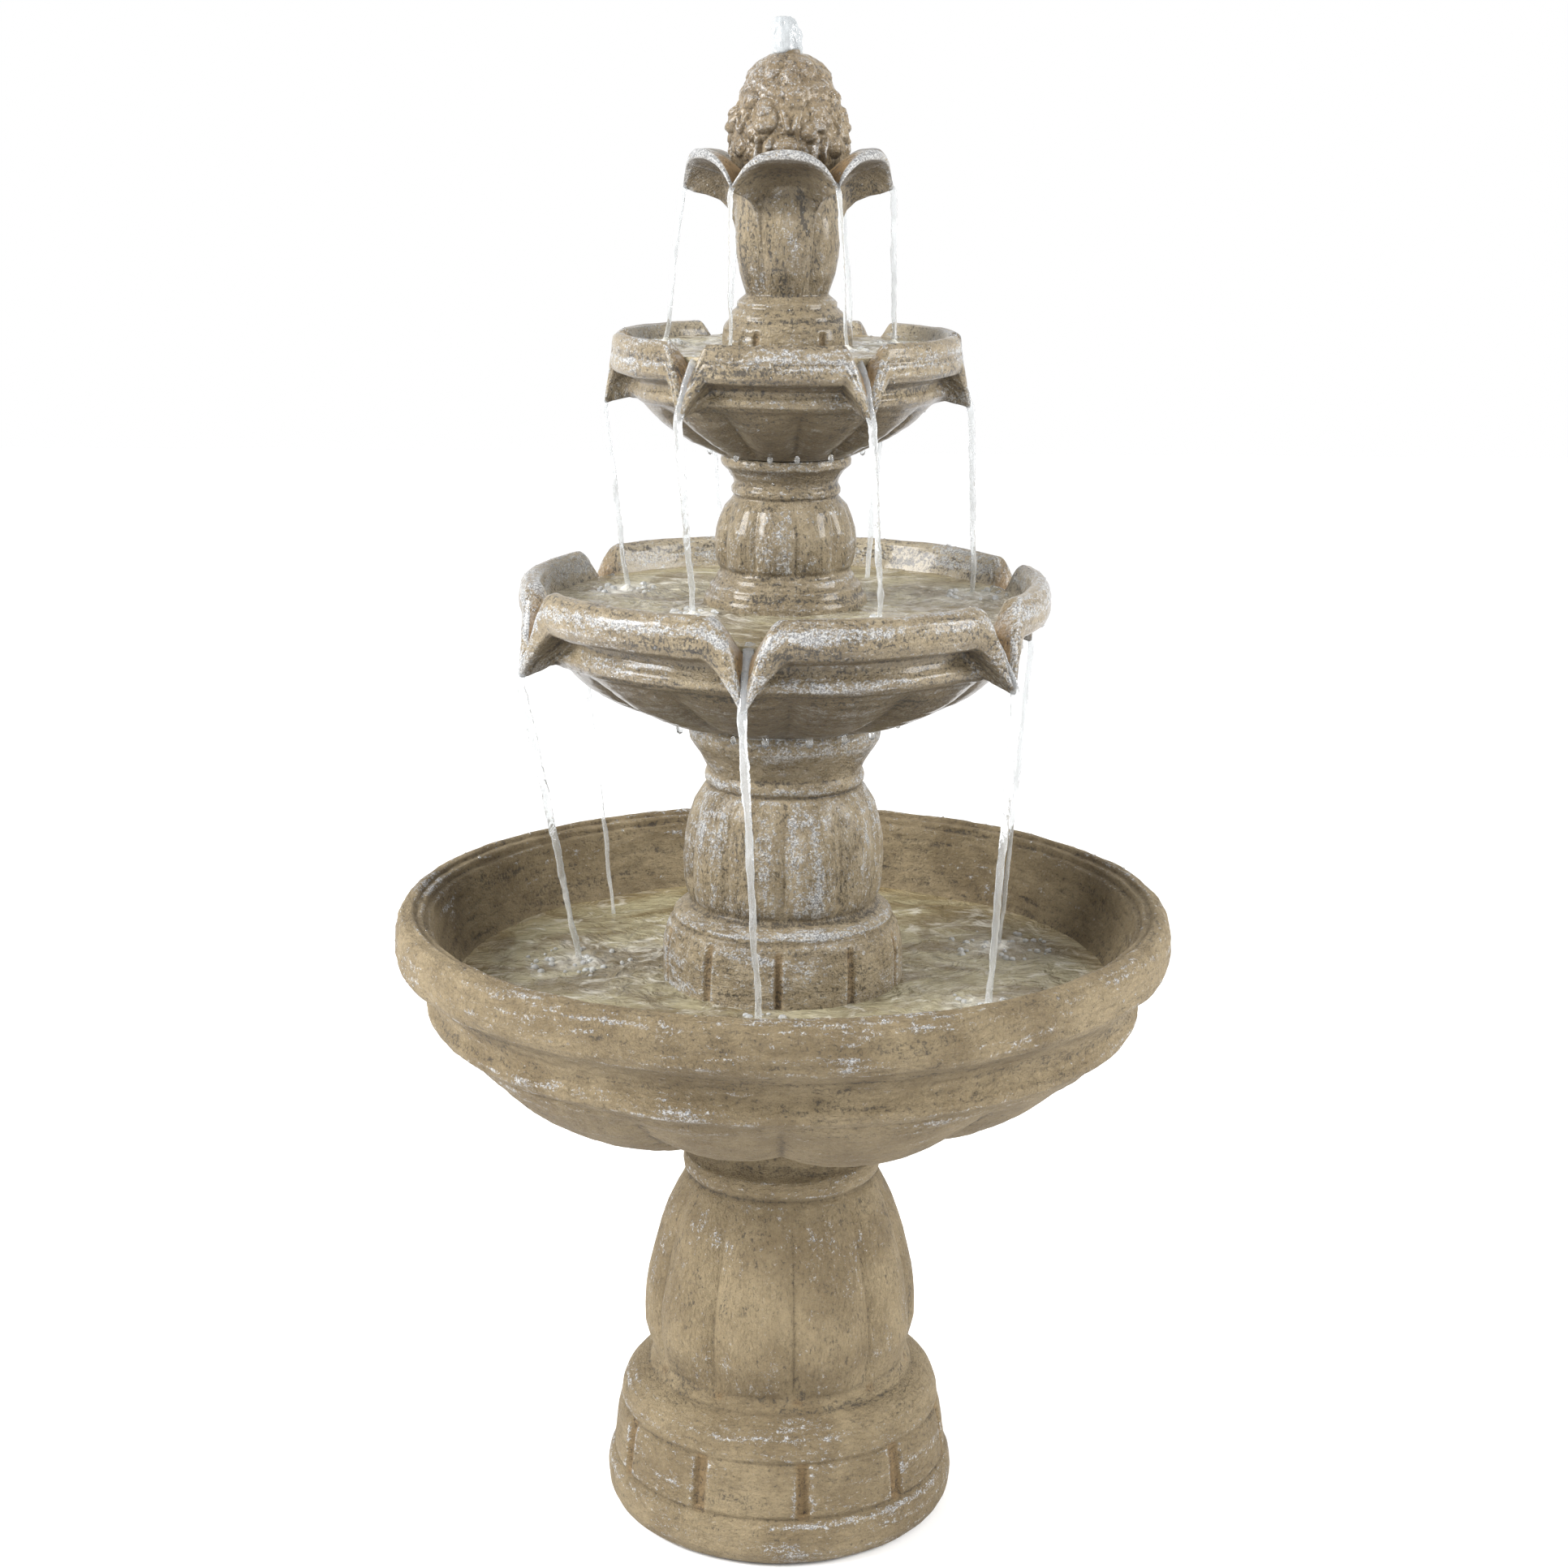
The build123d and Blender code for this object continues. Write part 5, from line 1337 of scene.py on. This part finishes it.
splashed("basin", 170, 540, 585, 1.0, 2.1, 401)
splashed("lower_column", 90, 560, 745, 0.8, 1.7, 402)
splashed("middle_bowl", 330, 800, 880, 0.9, 2.1, 403)
splashed("upper_column", 90, 860, 975, 0.8, 1.6, 404)
splashed("upper_bowl", 260, 1000, 1090, 0.8, 1.8, 405)
splashed("top_vase", 150, 1090, 1236, 0.7, 1.5, 406)
splashed("finial", 110, 1215, 1312, 0.7, 1.5, 407)


def drips(body, radius, height, angles, size):
    """Hanging drops along the lowest edge of a bowl."""
    turn = np.radians(np.array(angles, dtype=float))
    centres = on_circle(radius, turn, height)
    down = np.tile([0.0, 0.01, -1.0], (len(turn), 1))
    sizes = size * (0.8 + 0.4 * np.abs(np.sin(7 * turn))) * MM
    dotted(f"{body}_drips", body, centres * MM, down, sizes, DROPLET, 1.5)


drips("middle_bowl", 103, 748, (-62, -25, -9, 12, 30, 47, 75, 110, 165, 200, 250), 3.0)
drips("upper_bowl", 66, 984, (-40, -12, 8, 35, 90, 150, 210, 270), 2.2)
drips("basin", 112, 390, (11, 95, 190, 280), 2.6)


def bubbles(body, level, landings, each, spread, seed):
    """Half-sunk bubbles scattered round the landings of the streams."""
    draw = np.random.default_rng(seed)
    places = []
    for px, py in landings:
        away = spread * np.sqrt(draw.uniform(0.01, 1, each))
        turn = draw.uniform(0, 2 * np.pi, each)
        places.append(on_circle(away, np.pi - turn, level, (px, py)))
    centres = np.concatenate(places)
    up = np.tile([0.0, 0.01, 1.0], (len(centres), 1))
    sizes = draw.uniform(1.2, 4.2, len(centres)) * MM
    dotted(f"{body}_bubbles", body, centres * MM, up, sizes, BUBBLE, 0.75)


bubbles("basin", BASIN_LEVEL + 0.5, BASIN_LANDINGS, 34, 48, 411)
bubbles("middle_bowl", MIDDLE_LEVEL + 0.5, MIDDLE_LANDINGS, 16, 30, 412)
bubbles("upper_bowl", UPPER_LEVEL + 0.5, UPPER_LANDINGS, 8, 18, 413)

# ---------------------------------------------------------------- camera, floor and lights
CAMERA_PLACE = (0.0, -2.330, 1.268)
CAMERA_PITCH = 14.01
CAMERA_ROLL = 0.4
camera_data = bpy.data.cameras.new("camera")
camera_data.lens = 61.79
camera_data.sensor_width = 36
camera = bpy.data.objects.new("camera", camera_data)
camera.location = CAMERA_PLACE
tipped = Matrix.Rotation(math.radians(90 - CAMERA_PITCH), 4, "X")
rolled = Matrix.Rotation(math.radians(CAMERA_ROLL), 4, "Z")
camera.rotation_euler = (tipped @ rolled).to_euler()
bpy.context.scene.collection.objects.link(camera)
bpy.context.scene.camera = camera


def soft_light(name, place, target, size, power, colour=(1, 1, 1)):
    """A square area light at a place, facing a target."""
    data = bpy.data.lights.new(name, "AREA")
    data.shape = "SQUARE"
    data.size = size
    data.energy = power
    data.color = colour
    lamp = bpy.data.objects.new(name, data)
    lamp.location = place
    direction = np.array(target) - np.array(place)
    yaw = math.atan2(direction[1], direction[0])
    pitch = math.atan2(direction[2], math.hypot(direction[0], direction[1]))
    lamp.rotation_euler = (pitch + math.pi / 2, 0, yaw - math.pi / 2)
    bpy.context.scene.collection.objects.link(lamp)


soft_light("key", (-3.1, -1.1, 2.3), (0, 0, 0.7), 1.6, 225)
soft_light("fill", (3.1, -0.9, 1.9), (0, 0, 0.7), 1.6, 130)

world = bpy.data.worlds.new("studio")
bpy.context.scene.world = world
world.use_nodes = True
world.node_tree.nodes["Background"].inputs["Color"].default_value = (1, 1, 1, 1)
world.node_tree.nodes["Background"].inputs["Strength"].default_value = 1.0
bpy.context.scene.view_settings.view_transform = "Standard"

floor_material = Nodes("white_floor")
floor_material.set(Base_Color=(0.98, 0.98, 0.98, 1), Roughness=0.9)
floor_points = np.array([(-6, -4, 0), (6, -4, 0), (6, 8, 0), (-6, 8, 0)], dtype=float)
floor_mesh = mesh_from(floor_points, np.array([[0, 1, 2, 3]]))
floor_mesh.materials.append(floor_material.material)
link("floor", floor_mesh)
